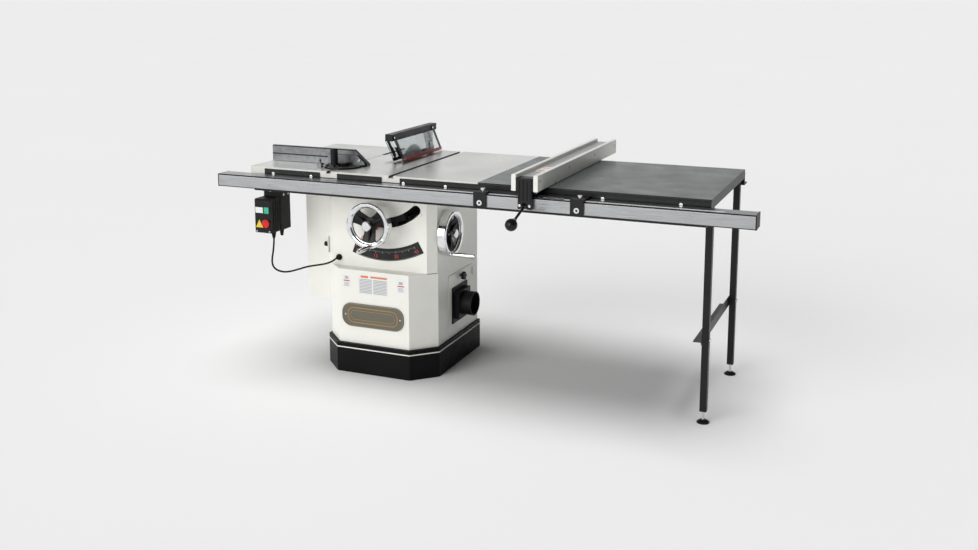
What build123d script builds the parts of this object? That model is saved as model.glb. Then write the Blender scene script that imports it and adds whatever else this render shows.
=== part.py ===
from build123d import *
import math
import os

# Cabinet table saw. Millimetres, +Z up, origin on the floor at the centre of the plinth.
# +X is the operator's right, +Y is the feed direction, away from the operator.

# ---- driving dimensions ----
TABLE_TOP = 863.6          # height of the work surface
TABLE_DEPTH = 685.8        # front to back
TABLE_SKIRT = 38.1         # depth of the castings below the work surface
MAIN_HALF = 254.0          # half the width of the main casting
WING_WIDTH = 254.0
EXTENSION_LENGTH = 883.0
EXTENSION_THICK = 35.6
PLINTH_HALF = 260.35
PLINTH_HEIGHT = 126.0
PLINTH_CHAMFER = 92.0
CABINET_HALF = 252.0
CABINET_FRONT = -247.0     # face of the lower cabinet
CABINET_BACK = 251.0
CABINET_CHAMFER = 90.0
PANEL_CHAMFER = 32.0
UPPER_FRONT = -194.0       # the control panel stands back from the lower cabinet
LEDGE_HEIGHT = 440.0       # where the control panel begins
SHEET = 2.5                # cabinet sheet metal
RAIL_LEFT = -604.0
RAIL_LENGTH = 2160.0
RAIL_DEPTH = 76.0
RAIL_HEIGHT = 51.0
BLADE_X = 16.0             # plane of the blade, and of the tilt axis
BLADE_BEHIND = 440.0       # arbor centre behind the table's front edge
BLADE_RADIUS = 127.0
BLADE_TEETH = 40
BLADE_HALF_THICK = 1.4
BLADE_BORE_R = 7.9
ARBOR_Z = 797.0
PIN_BEHIND = 300.0         # pin that the arbor arm swings on
PIN_Z = 759.0
ELEVATION_Z = 641.0        # elevation shaft, on x = 0
TILT_SHAFT_BEHIND = 258.0
TILT_SHAFT_Z = 592.0
WHEEL_RADIUS = 95.0
MOTOR_BEHIND = 393.0
MOTOR_Z = 605.0
FENCE_X = 738.0
FENCE_WIDTH = 102.0
SLOT_X = 139.7             # mitre slots each side of the centre line
PIVOT_BEHIND = 118.0       # mitre gauge pivot
CORD_DIAMETER = 7.5

FRONT = -TABLE_DEPTH / 2                 # y of the table's front edge
TABLE_UNDER = TABLE_TOP - TABLE_SKIRT    # underside of the castings' skirts
EXTENSION_END = MAIN_HALF + WING_WIDTH + EXTENSION_LENGTH
RAIL_RIGHT = RAIL_LEFT + RAIL_LENGTH
RAIL_BACK = FRONT - 14.0
RAIL_FRONT = RAIL_BACK - RAIL_DEPTH
RAIL_BOTTOM = 787.0
RAIL_TOP = RAIL_BOTTOM + RAIL_HEIGHT
BLADE_Y = FRONT + BLADE_BEHIND
PIN_Y = FRONT + PIN_BEHIND
TILT_SHAFT_Y = FRONT + TILT_SHAFT_BEHIND
MOTOR_Y = FRONT + MOTOR_BEHIND
ELEVATION_ANGLE = math.degrees(math.asin(-BLADE_X / (TABLE_TOP - ELEVATION_Z)))

# control panel: the curved slot that the elevation shaft moves in
SLOT_R = 227.0             # about the tilt axis
SLOT_HALF = 21.0
SLOT_END = 43.5            # degrees right of straight down
BADGE_Z = 248.0

# table castings and insert
WEB = 10.0                 # thickness of the castings' top
CAST_WALL = 10.0
INSERT_X0, INSERT_X1 = BLADE_X - 47.5, BLADE_X + 47.5
INSERT_Y0, INSERT_Y1 = FRONT + 265, FRONT + 612
INSERT_THICK = 6.4
MITRE_SLOT_WIDTH = 19.05
MITRE_SLOT_DEPTH = 9.5

# rail angles and leg frame
ANGLE_TOP = 857.0
ANGLE_BOTTOM = 781.0
ANGLE_THICK = 6.0
ANGLE_LEFT = -438.0
LEG_X = 1366.0
LEG_HALF = 12.7
LEG_FRONT_Y = FRONT + 113
LEG_BACK_Y = FRONT + 665
LEG_BOTTOM = 45.0
BRACE_Z = 300.0

# tilting assembly: fixed brackets, the trunnion's plates and the arbor arm
FRONT_BRACKET = (FRONT + 183, FRONT + 201)
REAR_BRACKET = (FRONT + 572.6, FRONT + 579.5)
PLATE = (FRONT + 203, FRONT + 226)
REAR_PLATE = (FRONT + 580.5, FRONT + 588)
SHAFT_CLEAR = 0.05
SHAFT_R = 9.5
SLEEVE_R = 16.0           # round the elevation shaft, through the slot
ARM_PIN_R = 8.05
ARBOR_R = 12.5
BOSS_R = 30.0
PULLEY_X = (-116.0, -84.0)
ARBOR_PULLEY_R = 33.0
MOTOR_PULLEY_R = 40.6
BELT_THICK = 6.0
MOTOR_SHAFT_R = 9.5

# blade guard: the bar, and the parallel links that carry each shield
BAR_TOP = 992.0
BAR_BOTTOM = 964.0
LINK_TOP_FRONT = FRONT + 238
LINK_TOP_REAR = FRONT + 604
LINK_TOP_Z = 978.0
LINK_DY = 80.0
LINK_DZ = -102.0
LINK_PIN_R = 3.0
PAWL_PIN = (FRONT + 608.0, 905.0)
PAWL_PIN_R = 3.0

# handwheels
RIM_INNER = 75.0
RIM_DEPTH = 38.0
SPOKES = (30, 150, 270)
GRIP_RADIUS_AT = 85.0
GRIP_PIN_R = 4.0
GRIP_LENGTH = 103.0
HUB_BACK = -38.0
WORM_R = 13.6
ELEVATION_FACE = FRONT + 52
ELEVATION_GRIP_ANGLE = -81
TILT_GRIP_ANGLE = -107
TILT_FACE = 295.0

# motor cover, clean-out door and dust port
COVER_X = (-370.0, -CABINET_HALF)
COVER_Y = (FRONT + 196, FRONT + 506)
COVER_Z = (275.0, 812.0)
COVER_WALL = 2.0
COVER_GAP = 0.5            # between the cover's flanges and the cabinet
COVER_HINGE = (-256.5, COVER_Y[1] + 3.5)
KNUCKLE_R = 4.0
DOOR_Y = (FRONT + 286, FRONT + 528)
DOOR_Z = (168.0, 398.0)
PORT_Y = FRONT + 391
PORT_Z = 262.0

# switch, glands and cord
SWITCH_X = (-497.0, -421.0)
SWITCH_Y0 = FRONT
SWITCH_Z = (583.0, 726.0)
START_BUTTON = (-440.0, 680.0)
STOP_BUTTON = (-442.0, 625.0)
GLAND = (-435.0, FRONT + 40)
MAINS_GLAND = (-440.0, FRONT + 108)
GROMMET = (-187.0, 473.0)

# rip fence
BOARD_Z = (865.0, 925.0)
BOARD_Y = (FRONT - 112, FRONT + 905)
BOARD_THICK = 17.0
HEAD_FRONT = RAIL_FRONT - 18
GLIDE_X = (556.0, 931.0)
LEVER_ROOT = (FRONT - 105.0, 807.0)


# ---- shape helpers ----
def block(x0, x1, y0, y1, z0, z1):
    size = (abs(x1 - x0), abs(y1 - y0), abs(z1 - z0))
    return Pos((x0 + x1) / 2, (y0 + y1) / 2, (z0 + z1) / 2) * Box(*size)


def rod_x(radius, x0, x1, y, z):
    return Pos((x0 + x1) / 2, y, z) * Rot(0, 90, 0) * Cylinder(radius, abs(x1 - x0))


def rod_y(radius, y0, y1, x, z):
    return Pos(x, (y0 + y1) / 2, z) * Rot(90, 0, 0) * Cylinder(radius, abs(y1 - y0))


def rod_z(radius, z0, z1, x, y):
    return Pos(x, y, (z0 + z1) / 2) * Cylinder(radius, abs(z1 - z0))


def plate_x(points_yz, x0, x1):
    """A flat plate across X with an outline of (y, z) points."""
    outline = make_face(Polyline(*[(0, y, z) for y, z in points_yz], close=True))
    return Pos(x0, 0, 0) * extrude(outline, x1 - x0, dir=(1, 0, 0))


def plate_y(points_xz, y0, y1):
    """A flat plate across Y with an outline of (x, z) points."""
    outline = make_face(Polyline(*[(x, 0, z) for x, z in points_xz], close=True))
    return Pos(0, y0, 0) * extrude(outline, y1 - y0, dir=(0, 1, 0))


def prism_z(points_xy, z0, z1):
    outline = make_face(Polyline(*[(x, y, 0) for x, y in points_xy], close=True))
    return Pos(0, 0, z0) * extrude(outline, z1 - z0, dir=(0, 0, 1))


def arc_plate(r0, r1, start, stop, y0, y1):
    """A piece of a ring about the tilt axis. Angles are in degrees from straight down, + to the right."""
    def point(radius, angle):
        a = math.radians(angle)
        return (BLADE_X + radius * math.sin(a), 0, TABLE_TOP - radius * math.cos(a))
    middle = (start + stop) / 2
    outer = ThreePointArc(point(r1, start), point(r1, middle), point(r1, stop))
    inner = ThreePointArc(point(r0, stop), point(r0, middle), point(r0, start))
    sides = [Line(point(r1, stop), point(r0, stop)), Line(point(r0, start), point(r1, start))]
    face = make_face(Curve() + [outer, sides[0], inner, sides[1]])
    return Pos(0, y0, 0) * extrude(face, y1 - y0, dir=(0, 1, 0))


def link_plate(y_a, z_a, r_a, y_b, z_b, r_b, x0, x1):
    """A plate across X that wraps two round ends, like a link or a belt's outline."""
    ends = Sketch() + [Pos(y_a, z_a) * Circle(r_a), Pos(y_b, z_b) * Circle(r_b)]
    plate = extrude(make_hull(ends.edges()), x1 - x0)
    across = Plane(origin=(x0, 0, 0), x_dir=(0, 1, 0), z_dir=(1, 0, 0))
    return across.location * plate


def revolve_about(profile_ra, axis_place):
    """Turns a (radius, height) outline about Z, then places it."""
    outline = make_face(Polyline(*[(r, 0, a) for r, a in profile_ra], close=True))
    return axis_place * revolve(outline, Axis.Z, 360)


parts = {}


def add(name, *solids):
    kept = []
    for solid in solids:
        kept.extend(solid.solids())
    parts[name] = Compound(children=kept) if len(kept) > 1 else kept[0]


# ---- plinth and cabinet ----
def footprint(half_x, y0, y1, corner):
    """A rectangle with both front corners cut at 45 degrees."""
    return [(-half_x + corner, y0), (half_x - corner, y0), (half_x, y0 + corner), (half_x, y1),
            (-half_x, y1), (-half_x, y0 + corner)]


def panel_outline(inset):
    """Upper cabinet section: the control panel with its shallow front corners."""
    return footprint(CABINET_HALF - inset, UPPER_FRONT + inset, CABINET_BACK - inset, PANEL_CHAMFER)


def make_plinth():
    wall = 12.0
    outer = prism_z(footprint(PLINTH_HALF, -PLINTH_HALF, PLINTH_HALF, PLINTH_CHAMFER), 0, PLINTH_HEIGHT)
    half = PLINTH_HALF - wall
    floor = 5.0
    inner = prism_z(footprint(half, -half, half, PLINTH_CHAMFER - wall / 2), floor, PLINTH_HEIGHT + 1)
    add("plinth", outer - inner)


def make_cabinet():
    outline = footprint(CABINET_HALF, CABINET_FRONT, CABINET_BACK, CABINET_CHAMFER)
    shell = prism_z(outline, PLINTH_HEIGHT, LEDGE_HEIGHT)
    shell += prism_z(panel_outline(0), LEDGE_HEIGHT, TABLE_UNDER)
    half = CABINET_HALF - SHEET
    lower = footprint(half, CABINET_FRONT + SHEET, CABINET_BACK - SHEET, CABINET_CHAMFER - SHEET / 2)
    shell -= prism_z(lower, PLINTH_HEIGHT - 1, LEDGE_HEIGHT - SHEET)
    shell -= prism_z(panel_outline(SHEET), LEDGE_HEIGHT - SHEET - 1, TABLE_UNDER + 1)
    slot = arc_plate(SLOT_R - SLOT_HALF, SLOT_R + SLOT_HALF, ELEVATION_ANGLE, SLOT_END,
                     UPPER_FRONT - 5, UPPER_FRONT + 8)
    for angle in (ELEVATION_ANGLE, SLOT_END):
        a = math.radians(angle)
        x, z = BLADE_X + SLOT_R * math.sin(a), TABLE_TOP - SLOT_R * math.cos(a)
        slot += rod_y(SLOT_HALF, UPPER_FRONT - 5, UPPER_FRONT + 8, x, z)
    shell -= slot
    # motor opening on the left, worm shaft hole and clean-out opening on the right
    shell -= block(-CABINET_HALF - 5, -CABINET_HALF + 8, FRONT + 205, FRONT + 495, 300, 790)
    shell -= rod_x(12.0, CABINET_HALF - 8, CABINET_HALF + 5, TILT_SHAFT_Y, TILT_SHAFT_Z)
    shell -= block(CABINET_HALF - 8, CABINET_HALF + 5, FRONT + 300, FRONT + 500, 183, 383)
    # sloping floor, welded in, that sheds the dust towards the port
    slope = plate_y([(-half, 330), (-half, 330 + SHEET), (half, 176 + SHEET), (half, 176)],
                    CABINET_FRONT, CABINET_BACK)
    slope &= prism_z(lower, PLINTH_HEIGHT, LEDGE_HEIGHT)
    add("cabinet_shell", shell, slope)


# ---- table castings ----


def make_main_table():
    skirt = CAST_WALL
    top = block(-MAIN_HALF, MAIN_HALF, FRONT, -FRONT, TABLE_UNDER, TABLE_TOP)
    top -= block(-MAIN_HALF + skirt, MAIN_HALF - skirt, FRONT + skirt, -FRONT - skirt,
                 TABLE_UNDER - 1, TABLE_TOP - WEB)
    for side in (-1, 1):
        x = side * SLOT_X
        top += block(x - 18, x + 18, FRONT + 1, -FRONT - 1, TABLE_TOP - 20, TABLE_TOP - WEB + 1)
        top += block(x + side * 19, x + side * 27, FRONT + 1, -FRONT - 1, TABLE_UNDER, TABLE_TOP - WEB + 1)
    top += block(INSERT_X0 - 14, INSERT_X1 + 14, INSERT_Y0 - 14, INSERT_Y1 + 14,
                 TABLE_TOP - 18, TABLE_TOP - WEB + 1)
    for side in (-1, 1):
        x = side * SLOT_X
        half = MITRE_SLOT_WIDTH / 2
        floor = TABLE_TOP - MITRE_SLOT_DEPTH
        top -= block(x - half, x + half, FRONT - 5, -FRONT + 5, floor, TABLE_TOP + 1)
        top -= block(x - 12.2, x + 12.2, FRONT - 5, -FRONT + 5, floor, floor + 3.4)
    top -= block(INSERT_X0, INSERT_X1, INSERT_Y0, INSERT_Y1, TABLE_TOP - INSERT_THICK, TABLE_TOP + 1)
    top -= block(INSERT_X0 + 8, INSERT_X1 - 8, INSERT_Y0 + 12, INSERT_Y1 - 8, TABLE_UNDER, TABLE_TOP + 1)
    # relief under the insert's right ledge, for the end of the tilted arbor
    top -= block(INSERT_X1 - 9, INSERT_X1 + 20, BLADE_Y - 34, BLADE_Y + 34, TABLE_UNDER, TABLE_TOP - 11)
    add("main_table", top)


def make_wings():
    skirt = CAST_WALL
    wings = []
    for side in (-1, 1):
        inner, outer = side * MAIN_HALF, side * (MAIN_HALF + WING_WIDTH)
        x0, x1 = min(inner, outer), max(inner, outer)
        wing = block(x0, x1, FRONT, -FRONT, TABLE_UNDER, TABLE_TOP)
        for row in range(3):
            y0 = FRONT + skirt + row * (TABLE_DEPTH - skirt) / 3
            y1 = y0 + (TABLE_DEPTH - skirt) / 3 - skirt
            for column in range(2):
                xa = x0 + skirt + column * (WING_WIDTH - skirt) / 2
                xb = xa + (WING_WIDTH - skirt) / 2 - skirt
                wing -= block(xa, xb, y0, y1, TABLE_UNDER - 1, TABLE_TOP - WEB)
        wings.append(wing)
    add("table_wings", *wings)


def make_insert():
    gap = 0.25
    plate = block(INSERT_X0 + gap, INSERT_X1 - gap, INSERT_Y0 + gap, INSERT_Y1 - gap,
                  TABLE_TOP - INSERT_THICK, TABLE_TOP)
    plate = fillet(plate.edges().filter_by(Axis.Z), 6)
    plate -= block(BLADE_X - 3, BLADE_X + 10, FRONT + 302, FRONT + 598, TABLE_TOP - 20, TABLE_TOP + 1)
    finger = rod_z(9, TABLE_TOP - 20, TABLE_TOP + 1, BLADE_X, INSERT_Y0 + 20)
    add("table_insert", plate - finger)


def make_extension():
    x0 = MAIN_HALF + WING_WIDTH
    board = block(x0, EXTENSION_END, FRONT, -FRONT, TABLE_TOP - EXTENSION_THICK, TABLE_TOP)
    add("extension_table", board)


# ---- rails ----


def make_rails():
    front = block(ANGLE_LEFT, EXTENSION_END, FRONT - ANGLE_THICK, FRONT, ANGLE_BOTTOM, ANGLE_TOP)
    front += block(ANGLE_LEFT, EXTENSION_END, FRONT - 82, FRONT - 1, ANGLE_BOTTOM, RAIL_BOTTOM)
    for side in (-1, 1):
        x = side * SLOT_X
        front -= block(x - 41, x + 41, FRONT - 10, FRONT + 5, 838, ANGLE_TOP + 1)
    rear = block(ANGLE_LEFT, EXTENSION_END, -FRONT, -FRONT + ANGLE_THICK, 798, 852)
    rear += block(ANGLE_LEFT, EXTENSION_END, -FRONT + 1, -FRONT + 56, 798, 804)
    for side in (-1, 1):
        x = side * SLOT_X
        rear -= block(x - 20, x + 20, -FRONT - 5, -FRONT + 10, 838, 860)
    add("rail_angles", front, rear)

    tube = block(RAIL_LEFT, RAIL_RIGHT, RAIL_FRONT, RAIL_BACK, RAIL_BOTTOM, RAIL_TOP)
    tube = fillet(tube.edges().filter_by(Axis.X), 5)
    wall = 3.0
    bore = block(RAIL_LEFT - 1, RAIL_RIGHT + 1, RAIL_FRONT + wall, RAIL_BACK - wall,
                 RAIL_BOTTOM + wall, RAIL_TOP - wall)
    add("front_rail_tube", tube - bore)

    caps = []
    for x, outward in ((RAIL_LEFT, -1), (RAIL_RIGHT, 1)):
        flange = block(x, x + outward * 4, RAIL_FRONT, RAIL_BACK, RAIL_BOTTOM, RAIL_TOP)
        plug = block(x + outward, x - outward * 15, RAIL_FRONT + wall, RAIL_BACK - wall,
                     RAIL_BOTTOM + wall, RAIL_TOP - wall)
        caps.append(flange + plug)
    add("rail_end_caps", *caps)


def make_fasteners():
    heads = []
    for x in (-395, -217, 198, 377, 700, 1000, 1285):
        heads.append(rod_y(6.5, FRONT - ANGLE_THICK - 2.5, FRONT - ANGLE_THICK, x, 839))
    for x in (-380, 63, 855, 1261):
        heads.append(rod_z(7, ANGLE_BOTTOM - 6, ANGLE_BOTTOM, x, FRONT - 52))
    for x in (-360, -100, 120, 380, 800, 1200):
        heads.append(rod_y(6.5, -FRONT + ANGLE_THICK, -FRONT + ANGLE_THICK + 5, x, 828))
    # the two tilt stop screws beside the end of the control slot
    for x, z in ((161, 727), (194.5, 683)):
        heads.append(rod_y(5, UPPER_FRONT - 4, UPPER_FRONT, x, z))
    for y in (LEG_FRONT_Y, LEG_BACK_Y):
        heads.append(rod_x(6.5, LEG_X + LEG_HALF, LEG_X + LEG_HALF + 5, y, BRACE_Z + 19))
    add("machine_screws", *heads)


# ---- leg frame under the extension ----


def make_leg_frame():
    legs = []
    top = TABLE_TOP - EXTENSION_THICK
    for y in (LEG_FRONT_Y, LEG_BACK_Y):
        leg = block(LEG_X - LEG_HALF, LEG_X + LEG_HALF, y - LEG_HALF, y + LEG_HALF, LEG_BOTTOM, top)
        leg -= rod_z(4.1, LEG_BOTTOM - 1, LEG_BOTTOM + 60, LEG_X, y)
        foot_plate = block(LEG_X - LEG_HALF - 18, LEG_X - LEG_HALF + 1,
                           y - LEG_HALF, y + LEG_HALF, top - 5, top)
        legs.append(leg + foot_plate)
    brace = block(LEG_X - LEG_HALF - 3, LEG_X - LEG_HALF, LEG_FRONT_Y - LEG_HALF, LEG_BACK_Y + LEG_HALF,
                  BRACE_Z, BRACE_Z + 38)
    brace += block(LEG_X - LEG_HALF - 38, LEG_X - LEG_HALF - 1, LEG_FRONT_Y + 14, LEG_BACK_Y - 14,
                   BRACE_Z, BRACE_Z + 3)
    add("leg_frame", *legs, brace)
    for name, y in (("foot_front", LEG_FRONT_Y), ("foot_rear", LEG_BACK_Y)):
        profile = [(0, 0), (23.5, 0), (23.5, 4), (12, 12), (8, 14), (4.05, 14), (4.05, 90), (0, 90)]
        foot = revolve_about(profile, Pos(LEG_X, y, 0))
        nut = extrude(Pos(LEG_X, y, LEG_BOTTOM - 7) * RegularPolygon(7.5, 6), 6.5)
        add(name, foot + nut)


# ---- fixed trunnion brackets and control panel plates ----


def make_brackets():
    brackets = []
    for y0, y1 in (FRONT_BRACKET, REAR_BRACKET):
        bracket = arc_plate(110, 150, -66, 66, y0, y1)
        bracket -= block(-400, 400, y0 - 5, y1 + 5, TABLE_UNDER, TABLE_TOP + 50)
        for side in (-1, 1):
            inner = BLADE_X + side * 104
            outer = BLADE_X + side * 180
            bracket += block(inner, outer, y0, y1, TABLE_UNDER - 14, TABLE_UNDER)
        brackets.append(bracket)
    # each bracket hangs from a bar that reaches both cabinet sides
    bars = []
    for y0, y1 in (FRONT_BRACKET, REAR_BRACKET):
        for side in (-1, 1):
            bars.append(block(BLADE_X + side * 180, side * (CABINET_HALF - SHEET - 0.2), y0, y1,
                              TABLE_UNDER - 14, TABLE_UNDER))
    front = brackets[0] + bars[0] + bars[1]
    rear = brackets[1] + bars[2] + bars[3]
    # bearing flange of the tilt shaft, on the inside of the cabinet's right wall
    wall = CABINET_HALF - SHEET
    flange = rod_x(24, wall - 14, wall, TILT_SHAFT_Y, TILT_SHAFT_Z)
    flange += rod_x(11.9, wall - 1, CABINET_HALF + 4, TILT_SHAFT_Y, TILT_SHAFT_Z)
    flange -= rod_x(SHAFT_R + SHAFT_CLEAR, 200, 300, TILT_SHAFT_Y, TILT_SHAFT_Z)
    add("trunnion_brackets", front, rear, flange)


def make_front_plates():
    scale = arc_plate(335, 387, -21, 29.5, UPPER_FRONT - 1.5, UPPER_FRONT)
    badge = Pos(-4, CABINET_FRONT, BADGE_Z) * Rot(90, 0, 0) * extrude(RectangleRounded(286, 100, 42), 3)
    add("panel_plates", scale, badge)


# ---- tilting assembly ----


def make_trunnion():
    front = arc_plate(100, 235.5, -66, 21, *PLATE)
    front += arc_plate(235, 256, -53, 12, PLATE[0], FRONT + 268)
    front += arc_plate(100, 109.5, -64, 20, FRONT_BRACKET[0], PLATE[0] + 1)
    front -= rod_y(SHAFT_R + SHAFT_CLEAR, FRONT + 150, FRONT + 300, 0, ELEVATION_Z)
    rear = arc_plate(100, 235, -40, 21, *REAR_PLATE)
    rear += arc_plate(100, 109.5, -64, 20, REAR_BRACKET[0], REAR_PLATE[0] + 1)
    yoke = block(BLADE_X + 40, BLADE_X + 70, PLATE[1] - 1, REAR_PLATE[0] + 1,
                 TABLE_TOP - 215, TABLE_TOP - 185)
    body = front + yoke + rear
    # lugs that carry the arm's pin
    for x0, x1 in ((8, 24), (-186, -170)):
        lug = link_plate(PLATE[1] - 1, PIN_Z, 14, PIN_Y, PIN_Z, 14, x0, x1)
        body += lug
    pin = rod_x(8, -190, 24, PIN_Y, PIN_Z)
    body += pin

    sleeve = rod_y(SLEEVE_R, FRONT + 112, PLATE[0], 0, ELEVATION_Z)
    sleeve -= rod_y(SHAFT_R + SHAFT_CLEAR, FRONT + 100, PLATE[0] + 5, 0, ELEVATION_Z)
    # the pointer is a thin V whose legs meet over the tilt scale
    faces = (UPPER_FRONT - 8, UPPER_FRONT - 5)
    outline = [(-24, ELEVATION_Z + 8), (-30, ELEVATION_Z - 16), (-104, 531), (12, ELEVATION_Z - 22)]
    arm = plate_y(outline, *faces)
    arm -= plate_y([(-24, ELEVATION_Z - 16), (-84, 553), (3, ELEVATION_Z - 24)], faces[0] - 1, faces[1] + 1)
    arm += rod_y(25, *faces, 0, ELEVATION_Z)
    arm -= rod_y(SLEEVE_R + 0.1, faces[0] - 5, faces[1] + 5, 0, ELEVATION_Z)
    add("tilt_trunnion", body, sleeve)
    add("tilt_pointer", arm)


def make_guard():
    top = TABLE_TOP + 121
    outline = [(FRONT + 573, TABLE_TOP - 99.8), (FRONT + 588, TABLE_TOP - 99.8), (FRONT + 588, TABLE_TOP + 2),
               (FRONT + 640, TABLE_TOP + 14), (FRONT + 640, top), (FRONT + 545, top),
               (FRONT + 545, TABLE_TOP + 98), (FRONT + 573, TABLE_TOP + 40)]
    splitter = plate_x(outline, BLADE_X - 1.25, BLADE_X + 1.25)
    splitter -= rod_x(PAWL_PIN_R + 0.05, BLADE_X - 5, BLADE_X + 5, PAWL_PIN[0], PAWL_PIN[1])
    add("splitter", splitter)

    bar = block(BLADE_X - 16, BLADE_X + 16, FRONT + 222, FRONT + 648, BAR_BOTTOM, BAR_TOP)
    bar -= block(BLADE_X - 13, BLADE_X + 13, FRONT + 225, FRONT + 650, BAR_BOTTOM - 1, BAR_TOP - 5)
    bar += block(BLADE_X - 8, BLADE_X - 1.25, FRONT + 560, FRONT + 630, BAR_BOTTOM, BAR_TOP - 4)
    bar += block(BLADE_X + 1.25, BLADE_X + 8, FRONT + 560, FRONT + 630, BAR_BOTTOM, BAR_TOP - 4)
    for y in (LINK_TOP_FRONT, LINK_TOP_REAR):
        bar -= rod_x(LINK_PIN_R + 0.05, BLADE_X - 20, BLADE_X + 20, y, LINK_TOP_Z)
    add("guard_bar", bar)

    for side, name in ((-1, "left"), (1, "right")):
        inner, outer = sorted((BLADE_X + side * 16.8, BLADE_X + side * 19.3))
        for which, y_top in (("front", LINK_TOP_FRONT), ("rear", LINK_TOP_REAR)):
            y_low = y_top + LINK_DY
            z_low = LINK_TOP_Z + LINK_DZ
            link = link_plate(y_top, LINK_TOP_Z, 8, y_low, z_low, 6, inner, outer)
            link += rod_x(LINK_PIN_R, BLADE_X + side * 13.4, BLADE_X + side * 18, y_top, LINK_TOP_Z)
            link += rod_x(LINK_PIN_R, BLADE_X + side * 18, BLADE_X + side * 22.8, y_low, z_low)
            add(name + "_link_" + which, link)
        low = TABLE_TOP + 4.4
        bottom_front, bottom_rear = LINK_TOP_FRONT + LINK_DY - 9, LINK_TOP_REAR + LINK_DY + 9
        high = BAR_BOTTOM + 4
        lean = LINK_DY / -LINK_DZ * (high - low)
        outline = [(bottom_front, low), (bottom_rear, low),
                   (bottom_rear - lean, high), (bottom_front - lean, high)]
        shield = plate_x(outline, *sorted((BLADE_X + side * 20.1, BLADE_X + side * 22.6)))
        for y_top in (LINK_TOP_FRONT, LINK_TOP_REAR):
            shield -= rod_x(LINK_PIN_R + SHAFT_CLEAR, BLADE_X - 30, BLADE_X + 30,
                            y_top + LINK_DY, LINK_TOP_Z + LINK_DZ)
        add(name + "_shield", shield)

    pawls = rod_x(PAWL_PIN_R, BLADE_X - 7, BLADE_X + 7, *PAWL_PIN)
    for side in (-1, 1):
        x0, x1 = sorted((BLADE_X + side * 3, BLADE_X + side * 7))
        y, z = PAWL_PIN
        outline = [(y - 8, z + 8), (y + 10, z + 8), (y + 26, TABLE_TOP + 22), (y + 24, TABLE_TOP + 9),
                   (y + 12, TABLE_TOP + 13), (y + 2, TABLE_TOP + 12), (y - 6, z - 10)]
        pawls += plate_x(outline, x0, x1)
    add("kickback_pawls", pawls)


# ---- arbor arm, motor and drive ----


def make_arm():
    arm = rod_x(24, -158, 7, PIN_Y, PIN_Z)
    arm += rod_x(BOSS_R, -78, 4, BLADE_Y, ARBOR_Z)
    arm += link_plate(PIN_Y, PIN_Z, 23.5, BLADE_Y, ARBOR_Z, BOSS_R - 0.5, -60, -22)
    arm += arc_sector_x(PIN_Y, PIN_Z, PIN_Z - ELEVATION_Z - WORM_R - 0.8, -105, -58, -7, 7)
    arm += link_plate(PIN_Y, PIN_Z, 22, MOTOR_Y, MOTOR_Z, 38, -168, -156)
    arm -= rod_x(ARM_PIN_R, -200, 30, PIN_Y, PIN_Z)
    arm -= rod_x(ARBOR_R + 0.05, -100, 30, BLADE_Y, ARBOR_Z)
    arm -= rod_x(MOTOR_SHAFT_R + 4, -200, -150, MOTOR_Y, MOTOR_Z)
    add("arbor_arm", arm)

    motor = rod_x(78, -352, -168, MOTOR_Y, MOTOR_Z)
    motor -= rod_x(72, -353, -330, MOTOR_Y, MOTOR_Z)
    for angle in range(0, 360, 20):
        a = math.radians(angle)
        y, z = MOTOR_Y + 78 * math.cos(a), MOTOR_Z + 78 * math.sin(a)
        motor += Pos(-255, y, z) * Rot(angle, 0, 0) * Box(150, 6, 3)
    motor -= rod_x(MOTOR_SHAFT_R + 0.05, -320, -150, MOTOR_Y, MOTOR_Z)
    add("motor", motor)

    reach = 0.3
    outer = link_plate(BLADE_Y, ARBOR_Z, ARBOR_PULLEY_R + BELT_THICK, MOTOR_Y, MOTOR_Z,
                       MOTOR_PULLEY_R + BELT_THICK, PULLEY_X[0] + 2, PULLEY_X[1] - 2)
    inner = link_plate(BLADE_Y, ARBOR_Z, ARBOR_PULLEY_R + reach, MOTOR_Y, MOTOR_Z,
                       MOTOR_PULLEY_R + reach, PULLEY_X[0] - 5, PULLEY_X[1] + 5)
    add("drive_belts", outer - inner)

    shaft = rod_x(ARBOR_R, PULLEY_X[0] - 6, 4.4, BLADE_Y, ARBOR_Z)
    shaft += rod_x(30, 4.6, BLADE_X - BLADE_HALF_THICK, BLADE_Y, ARBOR_Z)
    shaft += rod_x(ARBOR_R, 4, 5, BLADE_Y, ARBOR_Z)
    shaft += rod_x(BLADE_BORE_R, BLADE_X - 2, BLADE_X + 24, BLADE_Y, ARBOR_Z)
    washer = rod_x(25, BLADE_X + BLADE_HALF_THICK, BLADE_X + 7, BLADE_Y, ARBOR_Z)
    washer -= rod_x(BLADE_BORE_R + SHAFT_CLEAR, BLADE_X, BLADE_X + 30, BLADE_Y, ARBOR_Z)
    nut = Pos(BLADE_X + 7, BLADE_Y, ARBOR_Z) * Rot(0, 90, 0) * extrude(RegularPolygon(13.5, 6), 12)
    nut -= rod_x(BLADE_BORE_R + SHAFT_CLEAR, BLADE_X, BLADE_X + 30, BLADE_Y, ARBOR_Z)
    pulley = grooved_pulley(ARBOR_PULLEY_R, BLADE_Y, ARBOR_Z, ARBOR_R)
    add("arbor_shaft", shaft, washer, nut, pulley)
    make_blade()
    rotor = rod_x(MOTOR_SHAFT_R, -300, PULLEY_X[1] + 4, MOTOR_Y, MOTOR_Z)
    add("motor_pulley", rotor + grooved_pulley(MOTOR_PULLEY_R, MOTOR_Y, MOTOR_Z, 0))


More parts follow.
